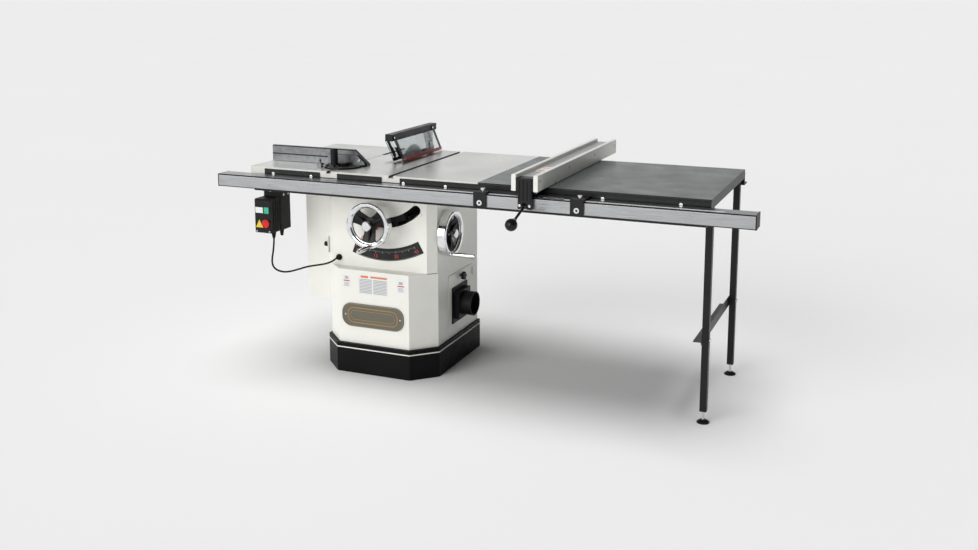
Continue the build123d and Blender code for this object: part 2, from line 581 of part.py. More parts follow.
def arc_sector_x(y, z, radius, start, stop, x0, x1):
    """A pie slice across X about (y, z). Angles are in degrees from +Y towards +Z."""
    def point(angle):
        a = math.radians(angle)
        return (0, y + radius * math.cos(a), z + radius * math.sin(a))
    rim = ThreePointArc(point(start), point((start + stop) / 2), point(stop))
    sides = [Line((0, y, z), point(start)), Line(point(stop), (0, y, z))]
    face = make_face(Curve() + [sides[0], rim, sides[1]])
    return Pos(x0, 0, 0) * extrude(face, x1 - x0, dir=(1, 0, 0))


def grooved_pulley(radius, y, z, bore):
    pulley = rod_x(radius, PULLEY_X[0], PULLEY_X[1], y, z)
    if bore:
        pulley -= rod_x(bore, PULLEY_X[0] - 5, PULLEY_X[1] + 5, y, z)
    return pulley


def make_blade():
    points = []
    step = math.radians(360 / BLADE_TEETH)
    for index in range(BLADE_TEETH):
        base = index * step
        for share, radius in ((0.0, BLADE_RADIUS), (0.42, BLADE_RADIUS - 2.5), (0.62, BLADE_RADIUS - 9.5),
                              (0.92, BLADE_RADIUS - 9.0)):
            angle = base + share * step
            points.append((BLADE_Y + radius * math.cos(angle), ARBOR_Z + radius * math.sin(angle)))
    blade = plate_x(points, BLADE_X - BLADE_HALF_THICK, BLADE_X + BLADE_HALF_THICK)
    blade -= rod_x(BLADE_BORE_R, BLADE_X - 5, BLADE_X + 5, BLADE_Y, ARBOR_Z)
    add("saw_blade", blade)


# ---- handwheels ----


def spoke_window():
    """A cutter for the opening between two spokes, centred on +X."""
    near, far, spread = 31.0, RIM_INNER - 3, math.radians(36)
    corner = (far * math.cos(spread), far * math.sin(spread))
    root = (near, 7)
    low_root, low_corner = (near, -7), (corner[0], -corner[1])
    sides = [Line(corner, root), Line(root, low_root), Line(low_root, low_corner)]
    outer = ThreePointArc(low_corner, (far, 0), corner)
    window = extrude(make_face(Curve() + [outer, *sides]), 60)
    window = fillet(window.edges().filter_by(Axis.Z), 6)
    return Pos(0, 0, -50) * window


def wheel_shapes(grip_angle):
    """A handwheel in its own frame: axis +Z towards the user, rim face at z = 0."""
    rim = [(RIM_INNER, -5), (RIM_INNER + 4, -1), (RIM_INNER + 8, 0), (WHEEL_RADIUS - 5, 0),
           (WHEEL_RADIUS - 1, -2), (WHEEL_RADIUS, -6), (WHEEL_RADIUS, 4 - RIM_DEPTH),
           (WHEEL_RADIUS - 4, -RIM_DEPTH), (WHEEL_RADIUS - 8, -RIM_DEPTH), (RIM_INNER + 3, -16)]
    dish = [(12, -24), (30, -26), (RIM_INNER + 4, -10), (RIM_INNER + 4, -15), (32, -32), (16, -34),
            (16, HUB_BACK), (SHAFT_R + SHAFT_CLEAR, HUB_BACK), (SHAFT_R + SHAFT_CLEAR, -24)]
    wheel = revolve_about(rim, Pos(0, 0, 0)) + revolve_about(dish, Pos(0, 0, 0))
    for angle in SPOKES:
        wheel -= Rot(0, 0, angle + 60) * spoke_window()
        wheel += Rot(0, 0, angle) * Pos(44, 0, -20) * Box(66, 9, 12)
    a = math.radians(grip_angle)
    x, y = GRIP_RADIUS_AT * math.cos(a), GRIP_RADIUS_AT * math.sin(a)
    wheel += Pos(x, y, -9) * Cylinder(9, 18)
    wheel -= Pos(0, 0, -40) * Cylinder(SHAFT_R + SHAFT_CLEAR, 80)
    wheel += Pos(x, y, 50) * Cylinder(GRIP_PIN_R, GRIP_LENGTH + 1)
    bore = GRIP_PIN_R + SHAFT_CLEAR
    grip = [(bore, 1), (7, 1), (8.5, 6), (7.5, 14), (9.6, 50), (10, 80), (8, GRIP_LENGTH - 3),
            (5, GRIP_LENGTH), (bore, GRIP_LENGTH)]
    handle = revolve_about(grip, Pos(x, y, 0))
    knob = [(0, -2), (17, -2), (20, 1), (20, 7), (17, 10), (0, 10)]
    knob_stem = [(0, -1), (8, -1), (8, -22), (0, -22)]
    lock = revolve_about(knob, Pos(0, 0, 0)) + revolve_about(knob_stem, Pos(0, 0, 0))
    return wheel, handle, lock


def make_handwheels():
    wheel, handle, lock = wheel_shapes(ELEVATION_GRIP_ANGLE)
    place = Location((0, ELEVATION_FACE, ELEVATION_Z), (90, 0, 0))
    shaft = rod_y(SHAFT_R, ELEVATION_FACE + 26, FRONT + 335, 0, ELEVATION_Z)
    worm = rod_y(WORM_R, FRONT + 283, FRONT + 318, 0, ELEVATION_Z)
    for turn in range(5):
        y = FRONT + 286 + turn * 7
        worm -= rod_y(20, y, y + 3, 0, ELEVATION_Z) - rod_y(11.6, y - 1, y + 4, 0, ELEVATION_Z)
    add("elevation_handwheel", place * wheel)
    add("elevation_grip", place * handle)
    add("elevation_lock_knob", place * lock)
    add("elevation_shaft", shaft + worm)

    wheel, handle, lock = wheel_shapes(TILT_GRIP_ANGLE)
    # local X runs along +Y and local Y along +Z, so the wheel faces +X
    place = Location(Plane(origin=(TILT_FACE, TILT_SHAFT_Y, TILT_SHAFT_Z), x_dir=(0, 1, 0), z_dir=(1, 0, 0)))
    shaft = rod_x(SHAFT_R, -40, TILT_FACE - 26, TILT_SHAFT_Y, TILT_SHAFT_Z)
    worm = rod_x(15, BLADE_X - 25, BLADE_X + 25, TILT_SHAFT_Y, TILT_SHAFT_Z)
    for turn in range(6):
        x = BLADE_X - 22 + turn * 8
        groove = rod_x(20, x, x + 4, TILT_SHAFT_Y, TILT_SHAFT_Z)
        worm -= groove - rod_x(12.5, x - 1, x + 5, TILT_SHAFT_Y, TILT_SHAFT_Z)
    add("tilt_handwheel", place * wheel)
    add("tilt_grip", place * handle)
    add("tilt_lock_knob", place * lock)
    add("tilt_shaft", shaft + worm)


# ---- side covers, dust door and port ----


def make_covers():
    cover = block(*COVER_X, *COVER_Y, *COVER_Z)
    cover = fillet(cover.edges().filter_by(Axis.Y).sort_by(Axis.X)[:2], 18)
    inner = block(COVER_X[0] + COVER_WALL, COVER_X[1] + 1, COVER_Y[0] + COVER_WALL, COVER_Y[1] - COVER_WALL,
                  COVER_Z[0] + COVER_WALL, COVER_Z[1] - COVER_WALL)
    inner = fillet(inner.edges().filter_by(Axis.Y).sort_by(Axis.X)[:2], 16)
    cover -= inner
    flange = (COVER_X[1] - COVER_WALL, COVER_X[1])
    cover += block(*flange, *COVER_Y, COVER_Z[0] - 12, COVER_Z[0] + 1)
    cover += block(*flange, *COVER_Y, COVER_Z[1] - 1, COVER_Z[1] + 10)
    cover += block(*flange, COVER_Y[0] - 27, COVER_Y[0] + 2, 480, 550)
    cover = Pos(-COVER_GAP, 0, 0) * cover
    for z in (330, 720):
        cover += rod_z(KNUCKLE_R, z, z + 45, *COVER_HINGE)
    add("motor_cover", cover)
    knob = rod_x(10, -CABINET_HALF - 22, -CABINET_HALF - 10, COVER_Y[0] - 13, 515)
    knob += rod_x(4, -CABINET_HALF - 11, -CABINET_HALF - 2.6, COVER_Y[0] - 13, 515)
    add("motor_cover_knob", knob)

    door = block(CABINET_HALF + 0.4, CABINET_HALF + 2.9, *DOOR_Y, *DOOR_Z)
    door -= rod_x(50, CABINET_HALF - 5, CABINET_HALF + 10, PORT_Y, PORT_Z)
    for z in (200, 350):
        door += rod_z(4, z, z + 30, CABINET_HALF + 4.5, DOOR_Y[1] + 1)
    add("dust_door", door)
    x0 = CABINET_HALF + 2.9
    port = block(x0, x0 + 4, PORT_Y - 78, PORT_Y + 78, PORT_Z - 78, PORT_Z + 78)
    port += block(x0, x0 + 26, PORT_Y - 59, PORT_Y + 59, PORT_Z - 59, PORT_Z + 59)
    port += rod_x(50.8, x0, x0 + 74, PORT_Y, PORT_Z)
    port -= rod_x(47.5, x0 - 5, x0 + 80, PORT_Y, PORT_Z)
    add("dust_port", port)
    y, z = FRONT + 404, 375
    knob = rod_x(13, x0 + 10, x0 + 22, y, z)
    for lobe in range(5):
        a = math.radians(lobe * 72)
        knob += rod_x(6, x0 + 10, x0 + 22, y + 12 * math.cos(a), z + 12 * math.sin(a))
    knob += rod_x(5, x0 + 0.2, x0 + 11, y, z)
    add("dust_door_knob", knob)


# ---- switch, glands and cord ----


def make_switch():
    x0, x1 = SWITCH_X
    y = SWITCH_Y0
    box = block(x0, x1, y, y + 75, *SWITCH_Z)
    box = chamfer(box.edges().filter_by(Axis.X).group_by(Axis.Y)[0], 4)
    box += block(x0 - 3, x1 + 3, y + 74, y + 144, SWITCH_Z[0], SWITCH_Z[1] + 18)
    for step in range(4):
        yy = y + 20 + step * 16
        box += block(x1 - 1, x1 + 2, yy, yy + 5, SWITCH_Z[0] + 8, SWITCH_Z[1] - 8)
    box -= block(START_BUTTON[0] - 11.4, START_BUTTON[0] + 11.4, y - 5, y + 12,
                 START_BUTTON[1] - 13.4, START_BUTTON[1] + 13.4)
    box -= rod_y(17.4, y - 5, y + 12, STOP_BUTTON[0], STOP_BUTTON[1])
    add("switch_box", box)
    # bent bracket that hangs the box from the wing's outer skirt
    x_out = -(MAIN_HALF + WING_WIDTH)
    bracket = block(x_out, x1 + 3, y + 100, y + 104, SWITCH_Z[1] + 18, TABLE_UNDER)
    bracket += block(x_out, x1 + 3, y + 70, y + 140, TABLE_UNDER - 3, TABLE_UNDER)
    bracket += block(x_out, x1 + 3, y + 78, y + 140, SWITCH_Z[1] + 18, SWITCH_Z[1] + 21)
    add("switch_bracket", bracket)
    start = block(START_BUTTON[0] - 11, START_BUTTON[0] + 11, y - 3, y + 7,
                  START_BUTTON[1] - 13, START_BUTTON[1] + 13)
    add("start_button", start)
    stop = rod_y(17, y - 9, y + 5, *STOP_BUTTON)
    add("stop_button", stop)

    def gland(x, y_at, top, drop, bore):
        body = rod_z(10, top - 8, top, x, y_at)
        body += Pos(x, y_at, top - 8 - (drop - 8) / 2) * Cone(6, 9, drop - 8)
        return body - rod_z(bore, top - drop - 1, top - drop + 12, x, y_at)
    socket = CORD_DIAMETER / 2
    glands = [gland(GLAND[0], GLAND[1], SWITCH_Z[0], 26, socket),
              gland(*MAINS_GLAND, SWITCH_Z[0], 30, 3.5)]
    relief = rod_y(13, UPPER_FRONT - 5, UPPER_FRONT, GROMMET[0], GROMMET[1])
    relief += rod_y(8, UPPER_FRONT - 16, UPPER_FRONT - 5, GROMMET[0], GROMMET[1])
    relief -= rod_y(socket, UPPER_FRONT - 20, UPPER_FRONT - 4, GROMMET[0], GROMMET[1])
    add("cable_glands", *glands, relief)


CORD_ROUTE = [
    (GLAND[0], GLAND[1], SWITCH_Z[0] - 14),
    (GLAND[0], GLAND[1], 541),
    (-439, FRONT + 37, 499),
    (-446, FRONT + 34, 457),
    (-440, FRONT + 36, 429),
    (-420, FRONT + 46, 413),
    (-390, FRONT + 59, 408),
    (-352, FRONT + 77, 418),
    (-312, FRONT + 91, 432),
    (-268, FRONT + 101, 441),
    (-228, FRONT + 105, 449),
    (-200, FRONT + 112, 461),
    (GROMMET[0], FRONT + 124, GROMMET[1]),
    (GROMMET[0], FRONT + 144.9, GROMMET[1]),
]


def make_cord():
    runs = [Vector(*b) - Vector(*a) for a, b in zip(CORD_ROUTE, CORD_ROUTE[1:])]
    radii = []
    for before, after in zip(runs, runs[1:]):
        turn = math.radians(before.get_angle(after))
        radii.append(0.45 * min(before.length, after.length) / math.tan(turn / 2))
    path = FilletPolyline(*CORD_ROUTE, radius=radii)
    wire = Wire(path.edges())
    section = Plane(origin=CORD_ROUTE[0], z_dir=runs[0].normalized()) * Circle(CORD_DIAMETER / 2)
    cord = sweep(section, path=wire)
    print("cord length", round(wire.length, 1), "radii", [round(r) for r in radii])
    add("switch_cord", cord)


# ---- rip fence ----


def make_fence():
    half = FENCE_WIDTH / 2 - BOARD_THICK
    beam = block(FENCE_X - half, FENCE_X + half, HEAD_FRONT, FRONT + 900, 867, 912)
    beam -= block(FENCE_X - half + 3, FENCE_X + half - 3, HEAD_FRONT + 3, FRONT + 897, 870, 909)
    boards = []
    for side in (-1, 1):
        board = block(FENCE_X + side * half, FENCE_X + side * (half + BOARD_THICK), *BOARD_Y, *BOARD_Z)
        board = chamfer(board.edges().filter_by(Axis.Y), 1.5)
        boards.append(board)
    add("fence_faces", *boards)
    gap = 0.5
    head = block(FENCE_X - 27, FENCE_X + 27, HEAD_FRONT, RAIL_FRONT - gap, 798, 867)
    head += block(FENCE_X - 27, FENCE_X + 27, HEAD_FRONT, RAIL_BACK + 4.5, RAIL_TOP + gap, 867)
    head -= block(FENCE_X - 9, FENCE_X + 9, HEAD_FRONT - 1, HEAD_FRONT + 12, 797, 822)
    x0, x1 = GLIDE_X[0] - 25, GLIDE_X[1] + 25
    bar = block(x0, x1, RAIL_BACK - 46, RAIL_BACK + 4.5, RAIL_TOP + gap, RAIL_TOP + 7)
    lip = block(x0, x1, RAIL_BACK + gap, RAIL_BACK + 4.5, RAIL_TOP - 32, RAIL_TOP + 7)
    add("fence_t_square", beam, head + bar + lip)

    glides = []
    for x in GLIDE_X:
        block_body = block(x - 25, x + 25, RAIL_FRONT - 8, RAIL_FRONT - gap, 792, RAIL_TOP + 9)
        block_body += block(x - 25, x + 25, RAIL_FRONT - 8, RAIL_BACK - 46, RAIL_TOP + gap, RAIL_TOP + 9)
        pad = rod_y(10, RAIL_FRONT - 11, RAIL_FRONT - 7, x, 807)
        pad -= rod_y(4.5, RAIL_FRONT - 12, RAIL_FRONT - 8, x, 807)
        screw = rod_z(4, RAIL_TOP + 9, RAIL_TOP + 15, x + 6, RAIL_FRONT + 12)
        screw += rod_z(9, RAIL_TOP + 15, RAIL_TOP + 21, x + 6, RAIL_FRONT + 12)
        glides.extend([block_body, pad, screw])
    rear_glide = block(FENCE_X - 20, FENCE_X + 20, -FRONT + 0.5, -FRONT + 20, 852.4, 867)
    add("rail_glides", *glides, rear_glide)

    lens = block(FENCE_X + 27.5, FENCE_X + 140, RAIL_FRONT + 8, RAIL_BACK - 46.5, RAIL_TOP + 1, RAIL_TOP + 4)
    add("cursor_lens", lens)

    y0, z0 = LEVER_ROOT
    hub = rod_x(7, FENCE_X - 8.4, FENCE_X + 8.4, y0, z0)
    direction = Vector(0, -127, -41).normalized()
    start = Vector(FENCE_X - 4, y0, z0)
    stem_plane = Plane(origin=start, z_dir=direction)
    stem = extrude(stem_plane * Circle(5), 118)
    ball_at = start + direction * 133
    ball = Pos(*ball_at) * Sphere(22.5)
    ferrule = extrude(Plane(origin=start + direction * 100, z_dir=direction) * Circle(9), 14)
    add("fence_lever", hub + stem + ferrule, ball - extrude(stem_plane * Circle(9.1), 119))


# ---- mitre gauge ----
def make_mitre():
    pivot_y = FRONT + PIVOT_BEHIND
    x = -SLOT_X
    half = MITRE_SLOT_WIDTH / 2 - 0.1
    floor = TABLE_TOP - MITRE_SLOT_DEPTH
    bar = block(x - half, x + half, FRONT + 20, FRONT + 470, floor + 0.3, TABLE_TOP)
    bar += rod_z(6, TABLE_TOP - 1, TABLE_TOP + 12, x, pivot_y)
    add("mitre_bar", bar)

    z0 = TABLE_TOP + 0.5
    head = Pos(x, pivot_y, z0 + 4) * Cylinder(78, 8)
    head &= block(x - 90, x + 90, pivot_y - 90, pivot_y + 38, z0 - 5, z0 + 20)
    head += block(x - 86, x + 86, pivot_y + 22, pivot_y + 38, z0, z0 + 46)
    slope = [(-116, z0 + 70), (-40, z0 + 70), (-40, z0 + 5)]
    head -= plate_y(slope, pivot_y + 20, pivot_y + 40)
    head += Pos(x, pivot_y, z0 + 9) * Cylinder(24, 18)
    head -= rod_z(6.05, z0 - 5, z0 + 14, x, pivot_y)
    head -= arc_slot(x, pivot_y, 58, 66, 205, 335, z0 - 1, z0 + 9)
    add("mitre_head", head)

    fence = block(-504, -46, pivot_y + 38.4, pivot_y + 58, z0 + 1, z0 + 66)
    fence = chamfer(fence.edges().filter_by(Axis.X).group_by(Axis.Z)[-1], 3)
    fence -= plate_y(slope, pivot_y + 30, pivot_y + 70)
    fence -= block(-500, -50, pivot_y + 37, pivot_y + 43, z0 + 28, z0 + 33)
    stop = block(-226, -206, pivot_y - 64, pivot_y - 44, z0 + 1.5, z0 + 20)
    stop_pin = rod_z(4, z0 + 20, z0 + 36, -216, pivot_y - 54)
    tab = block(-207, -188, pivot_y - 58, pivot_y - 44, z0 + 8, z0 + 12)
    add("mitre_fence", fence, stop + stop_pin + tab)

    grip_x, grip_y = x - 15, pivot_y - 46
    grip = rod_z(15, z0 + 12, z0 + 81, grip_x, grip_y)
    grip = fillet(grip.edges().filter_by(GeomType.CIRCLE), 3)
    grip += rod_z(5, z0 + 8.3, z0 + 13, grip_x, grip_y)
    add("mitre_handle", grip)


def arc_slot(x, y, r0, r1, start, stop, z0, z1):
    """A curved slot about a vertical axis, as a cutter."""
    def point(radius, angle):
        a = math.radians(angle)
        return (x + radius * math.cos(a), y + radius * math.sin(a), z0)
    middle = (start + stop) / 2
    outer = ThreePointArc(point(r1, start), point(r1, middle), point(r1, stop))
    inner = ThreePointArc(point(r0, stop), point(r0, middle), point(r0, start))
    ends = [Line(point(r1, stop), point(r0, stop)), Line(point(r0, start), point(r1, start))]
    return extrude(make_face(Curve() + [outer, ends[0], inner, ends[1]]), z1 - z0, dir=(0, 0, 1))


make_plinth()
make_cabinet()
make_main_table()
make_wings()
make_insert()
make_extension()
make_rails()
make_leg_frame()
make_fasteners()
make_brackets()
make_front_plates()
make_trunnion()
make_guard()
make_arm()
make_handwheels()
make_covers()
make_switch()
make_cord()
make_fence()
make_mitre()

os.makedirs("parts", exist_ok=True)
for name, shape in parts.items():
    export_step(shape, os.path.join("parts", name + ".step"))
print(len(parts), "nodes")
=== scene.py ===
import math

import bmesh
import bpy
from mathutils import Matrix, Vector


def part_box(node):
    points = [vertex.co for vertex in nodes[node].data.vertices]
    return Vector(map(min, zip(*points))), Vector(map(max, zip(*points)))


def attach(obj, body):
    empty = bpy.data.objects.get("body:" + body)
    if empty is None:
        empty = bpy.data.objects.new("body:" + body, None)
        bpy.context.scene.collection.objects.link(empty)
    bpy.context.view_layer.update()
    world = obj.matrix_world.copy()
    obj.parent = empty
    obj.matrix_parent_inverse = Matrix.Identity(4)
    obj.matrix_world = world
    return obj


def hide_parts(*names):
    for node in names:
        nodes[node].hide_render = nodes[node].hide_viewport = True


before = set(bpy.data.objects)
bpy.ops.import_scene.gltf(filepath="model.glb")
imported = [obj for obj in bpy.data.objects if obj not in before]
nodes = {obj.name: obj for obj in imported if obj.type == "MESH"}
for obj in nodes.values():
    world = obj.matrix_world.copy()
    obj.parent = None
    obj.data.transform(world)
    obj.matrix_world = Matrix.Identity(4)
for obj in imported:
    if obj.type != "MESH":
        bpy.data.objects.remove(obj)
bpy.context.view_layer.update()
scene = bpy.context.scene


def middle(node):
    """The centre of a node's box."""
    return [(a + b) / 2 for a, b in zip(*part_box(node))]


# ---- places taken from the CAD, in metres ----
OUT = (0, -1, 0)                                        # towards the operator
RIGHT = (1, 0, 0)
LEFT = (-1, 0, 0)
UP = (0, 0, 1)
TABLE_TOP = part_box("main_table")[1].z
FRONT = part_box("main_table")[0].y                       # front edge of the table
PLINTH_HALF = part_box("plinth")[1].x
PANEL_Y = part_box("cabinet_shell")[0].y                  # lower front panel
DIAL_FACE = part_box("tilt_pointer")[1].y + 0.0035        # front of the tilt scale
RAIL_LOW, RAIL_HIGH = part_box("front_rail_tube")
FENCE_LOW, FENCE_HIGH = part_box("fence_faces")
FENCE_X = middle("fence_faces")[0]
LENS_LOW, LENS_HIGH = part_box("cursor_lens")
MITRE_LOW, MITRE_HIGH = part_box("mitre_fence")
PIVOT_Y = FRONT + 0.118                                 # where the mitre gauge swivels
BLADE_X = middle("saw_blade")[0]
SWITCH_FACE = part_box("switch_box")[0].y

# ---- camera ----
camera = bpy.data.objects.new("camera", bpy.data.cameras.new("camera"))
scene.collection.objects.link(camera)
scene.camera = camera
camera.location = (2.0927, -4.0666, 1.5972)
camera.rotation_euler = (math.radians(80.01), 0, math.radians(22.45))
camera.data.lens = 40.12
camera.data.sensor_width = 36
camera.data.shift_y = -0.1002
camera.data.clip_end = 500


# ---- materials ----
CREAM = (0.86, 0.855, 0.80)
BLACK = (0.012, 0.012, 0.013)
DARK = (0.006, 0.006, 0.0065)
BRIGHT = (0.7, 0.71, 0.71)
BAND_SOFT = 0.0002                # half the width of a band's soft edge
FACING = (0.7, 0.9)               # how squarely a face looks along an axis: none of it, all of it
EDGE_WEAR = (0.03, 0.25)          # how far a rounded edge's normal turns: no wear, full wear


class Shader:
    """One node material: a Principled shader and the patterns that feed it."""

    def __init__(self, name, **sockets):
        self.material = bpy.data.materials.new(name)
        self.material.use_nodes = True
        self.tree = self.material.node_tree
        self.tree.nodes.clear()
        self.bsdf = self.tree.nodes.new("ShaderNodeBsdfPrincipled")
        output = self.tree.nodes.new("ShaderNodeOutputMaterial")
        self.tree.links.new(self.bsdf.outputs[0], output.inputs[0])
        self.place = self.tree.nodes.new("ShaderNodeTexCoord").outputs["Object"]
        split = self.tree.nodes.new("ShaderNodeSeparateXYZ")
        self.tree.links.new(self.place, split.inputs[0])
        self.x, self.y, self.z = split.outputs
        for socket, value in sockets.items():
            self.set(socket.replace("_", " "), value)

    def give(self, target, value):
        if isinstance(value, bpy.types.NodeSocket):
            self.tree.links.new(value, target)
        elif target.type == "RGBA" and len(value) == 3:
            target.default_value = (*value, 1)
        else:
            target.default_value = value

    def set(self, socket, value):
        self.give(self.bsdf.inputs[socket], value)

    def node(self, kind, inputs, output=0, **settings):
        made = self.tree.nodes.new("ShaderNode" + kind)
        for key, value in settings.items():
            setattr(made, key, value)
        for key, value in inputs.items():
            self.give(made.inputs[key], value)
        return made.outputs[output]

    def math(self, operation, a, b=0.0):
        return self.node("Math", {0: a, 1: b}, operation=operation)

    def vector(self, stretch):
        return self.node("VectorMath", {0: self.place, 1: stretch}, operation="MULTIPLY")

    def noise(self, scale, detail=3.0, stretch=(1, 1, 1)):
        inputs = {"Vector": self.vector(stretch), "Scale": scale, "Detail": detail, "Roughness": 0.55}
        return self.node("TexNoise", inputs)

    def remap(self, value, low, high, to_low=0.0, to_high=1.0):
        return self.node("MapRange", {0: value, 1: low, 2: high, 3: to_low, 4: to_high})

    def mix(self, share, a, b):
        return self.node("Mix", {0: share, 6: a, 7: b}, output=2, data_type="RGBA")

    def blend(self, share, a, b):
        return self.node("Mix", {0: share, 2: a, 3: b}, output=0, data_type="FLOAT")

    def band(self, value, low, high):
        """1 where value lies between low and high."""
        rise = self.remap(value, low - BAND_SOFT, low + BAND_SOFT)
        fall = self.remap(value, high - BAND_SOFT, high + BAND_SOFT, 1.0, 0.0)
        return self.math("MULTIPLY", rise, fall)

    def along(self, axis):
        """How far faces look along an axis of the object, from -1 to 1."""
        normal = self.node("TexCoord", {}, output="Normal")
        return self.node("VectorMath", {0: normal, 1: axis}, output="Value", operation="DOT_PRODUCT")

    def facing(self, axis):
        """1 on faces that look along an axis of the object."""
        return self.remap(self.along(axis), *FACING)

    def rounded(self, radius):
        """The normal, as if edges had this radius."""
        return self.node("Bevel", {"Radius": radius}, samples=4)

    def edges(self, radius):
        """1 near sharp edges, where a finish wears."""
        flat = self.node("NewGeometry", {}, output="Normal")
        pair = {0: self.rounded(radius), 1: flat}
        dot = self.node("VectorMath", pair, output="Value", operation="DOT_PRODUCT")
        return self.remap(self.math("SUBTRACT", 1.0, dot), *EDGE_WEAR)

    def relief(self, height, distance, radius=0.0):
        """Bump from a height in metres, on faces whose edges are rounded by radius."""
        inputs = {"Strength": 1.0, "Distance": distance, "Height": height}
        if radius:
            inputs["Normal"] = self.rounded(radius)
        self.set("Normal", self.node("Bump", inputs))


def scaled(colour, factor):
    return tuple(min(1.0, c * factor) for c in colour)


def painted(name, colour, rough=0.35, peel=0.00004, chip=(0.35, 0.35, 0.34), wear=0.25, vary=0.06,
            coat=0.15, specular=0.5):
    """Powder coat or enamel: orange peel, faint soiling, and thin wear along the edges."""
    s = Shader(name, Coat_Weight=coat, Coat_Roughness=0.2, Specular_IOR_Level=specular)
    cloud = s.noise(7.0, 4.0)
    smudge = s.noise(45.0, 5.0)
    base = s.mix(s.remap(cloud, 0.3, 0.7), scaled(colour, 1 - vary), scaled(colour, 1 + vary))
    base = s.mix(s.remap(smudge, 0.56, 0.8, 0.0, 0.35), base, scaled(colour, 1 - 2.2 * vary))
    rubbed = s.math("MULTIPLY", s.edges(0.0012), s.remap(s.noise(260.0, 4.0), 0.45, 0.7))
    s.set("Base Color", s.mix(s.math("MULTIPLY", rubbed, wear), base, chip))
    s.set("Roughness", s.remap(smudge, 0.25, 0.75, rough - 0.07, rough + 0.1))
    s.relief(s.noise(900.0, 2.0), peel, radius=0.0008)
    return s


def plastic(name, colour, rough=0.5, grain=1600.0, depth=0.00006, specular=0.4, vary=0.3):
    """Moulded plastic with a fine sparked texture, paler where hands rub its edges."""
    s = Shader(name, Specular_IOR_Level=specular)
    fine = s.noise(grain, 2.0)
    cloud = s.noise(60.0, 4.0)
    base = s.mix(s.remap(cloud, 0.3, 0.75), colour, scaled(colour, 1 + vary))
    rubbed = s.math("MULTIPLY", s.edges(0.001), 0.35)
    s.set("Base Color", s.mix(rubbed, base, tuple(min(1.0, c * 1.5 + 0.02) for c in colour)))
    s.set("Roughness", s.remap(cloud, 0.3, 0.7, rough - 0.08, rough + 0.08))
    s.relief(fine, depth, radius=0.0006)
    return s


def metal(name, colour, rough=0.3, stretch=(1, 1, 1), lines=2500.0, depth=0.00001, tone=0.12, radius=0.0005):
    """Bare metal whose fine lines run along the axis with the small stretch."""
    s = Shader(name, Metallic=1.0)
    line = s.noise(lines, 3.0, stretch)
    cloud = s.noise(14.0, 4.0)
    base = s.mix(s.remap(line, 0.3, 0.7), scaled(colour, 1 - tone), scaled(colour, 1 + tone / 2))
    base = s.mix(s.remap(cloud, 0.45, 0.75, 0.0, 0.3), base, scaled(colour, 1 - 2 * tone))
    s.set("Base Color", base)
    s.set("Roughness", s.math("ADD", s.remap(line, 0.3, 0.7, rough - 0.06, rough + 0.06),
                              s.remap(cloud, 0.3, 0.7, -0.04, 0.05)))
    s.relief(line, depth, radius=radius)
    return s


SLOT_DEPTH = 0.0105               # the mitre slots, down to just above their floors
SLOTS_REACH = 0.16                # the slots lie within this distance of x = 0


def make_ground_iron():
    """Castings with a ground top and painted sides."""
    s = Shader("ground_iron", Coat_Weight=0.0)
    level = s.facing(UP)
    top = s.math("MULTIPLY", level, s.remap(s.z, TABLE_TOP - 0.0014, TABLE_TOP - 0.0008))
    slot_floor = s.math("MULTIPLY", level, s.remap(s.z, TABLE_TOP - 0.012, TABLE_TOP - SLOT_DEPTH))
    ground = s.math("MAXIMUM", top, slot_floor)
    sideways = s.remap(s.math("ABSOLUTE", s.along(RIGHT)), *FACING)
    inside = s.math("MULTIPLY", s.band(s.x, -SLOTS_REACH, SLOTS_REACH), sideways)
    slot_wall = s.math("MULTIPLY", inside, s.remap(s.z, TABLE_TOP - SLOT_DEPTH, TABLE_TOP - 0.010))
    lines = s.noise(420.0, 4.0, (0.03, 1, 1))
    cloud = s.noise(5.0, 5.0)
    stain = s.noise(38.0, 6.0)
    iron = s.mix(s.remap(lines, 0.3, 0.7), (0.70, 0.71, 0.69), (0.725, 0.73, 0.71))
    iron = s.mix(s.remap(cloud, 0.4, 0.75, 0.0, 0.35), iron, (0.62, 0.625, 0.61))
    iron = s.mix(s.remap(stain, 0.6, 0.8, 0.0, 0.10), iron, (0.56, 0.55, 0.52))
    paint = s.mix(s.remap(s.noise(20.0), 0.3, 0.7), scaled(CREAM, 0.93), CREAM)
    # painted shade: the mitre slots' walls are coloured near-black, darker than their bare iron
    paint = s.mix(slot_wall, paint, (0.09, 0.09, 0.088))
    s.set("Base Color", s.mix(ground, paint, iron))
    s.set("Metallic", s.math("MULTIPLY", ground, 0.55))
    rough = s.math("ADD", s.remap(lines, 0.3, 0.7, 0.29, 0.31), s.remap(cloud, 0.3, 0.7, -0.03, 0.05))
    s.set("Roughness", s.blend(ground, 0.42, rough))
    pits = s.noise(700.0, 3.0)
    s.relief(s.blend(ground, pits, s.math("MULTIPLY", lines, 0.01)), 0.00006, radius=0.0008)
    return s


def make_laminate():
    """Textured laminate on top, black edging round the sides."""
    s = Shader("laminate", Specular_IOR_Level=0.45)
    top = s.facing(UP)
    fleck = s.noise(900.0, 4.0)
    cloud = s.noise(9.0, 4.0)
    surface = s.mix(s.remap(fleck, 0.35, 0.65), (0.055, 0.066, 0.064), (0.105, 0.122, 0.118))
    surface = s.mix(s.remap(cloud, 0.4, 0.8, 0.0, 0.3), surface, (0.13, 0.148, 0.143))
    s.set("Base Color", s.mix(top, s.mix(fleck, (0.004, 0.004, 0.0045), BLACK), surface))
    s.set("Roughness", s.blend(top, 0.45, s.remap(cloud, 0.3, 0.7, 0.26, 0.38)))
    s.relief(fleck, 0.00004, radius=0.001)
    return s


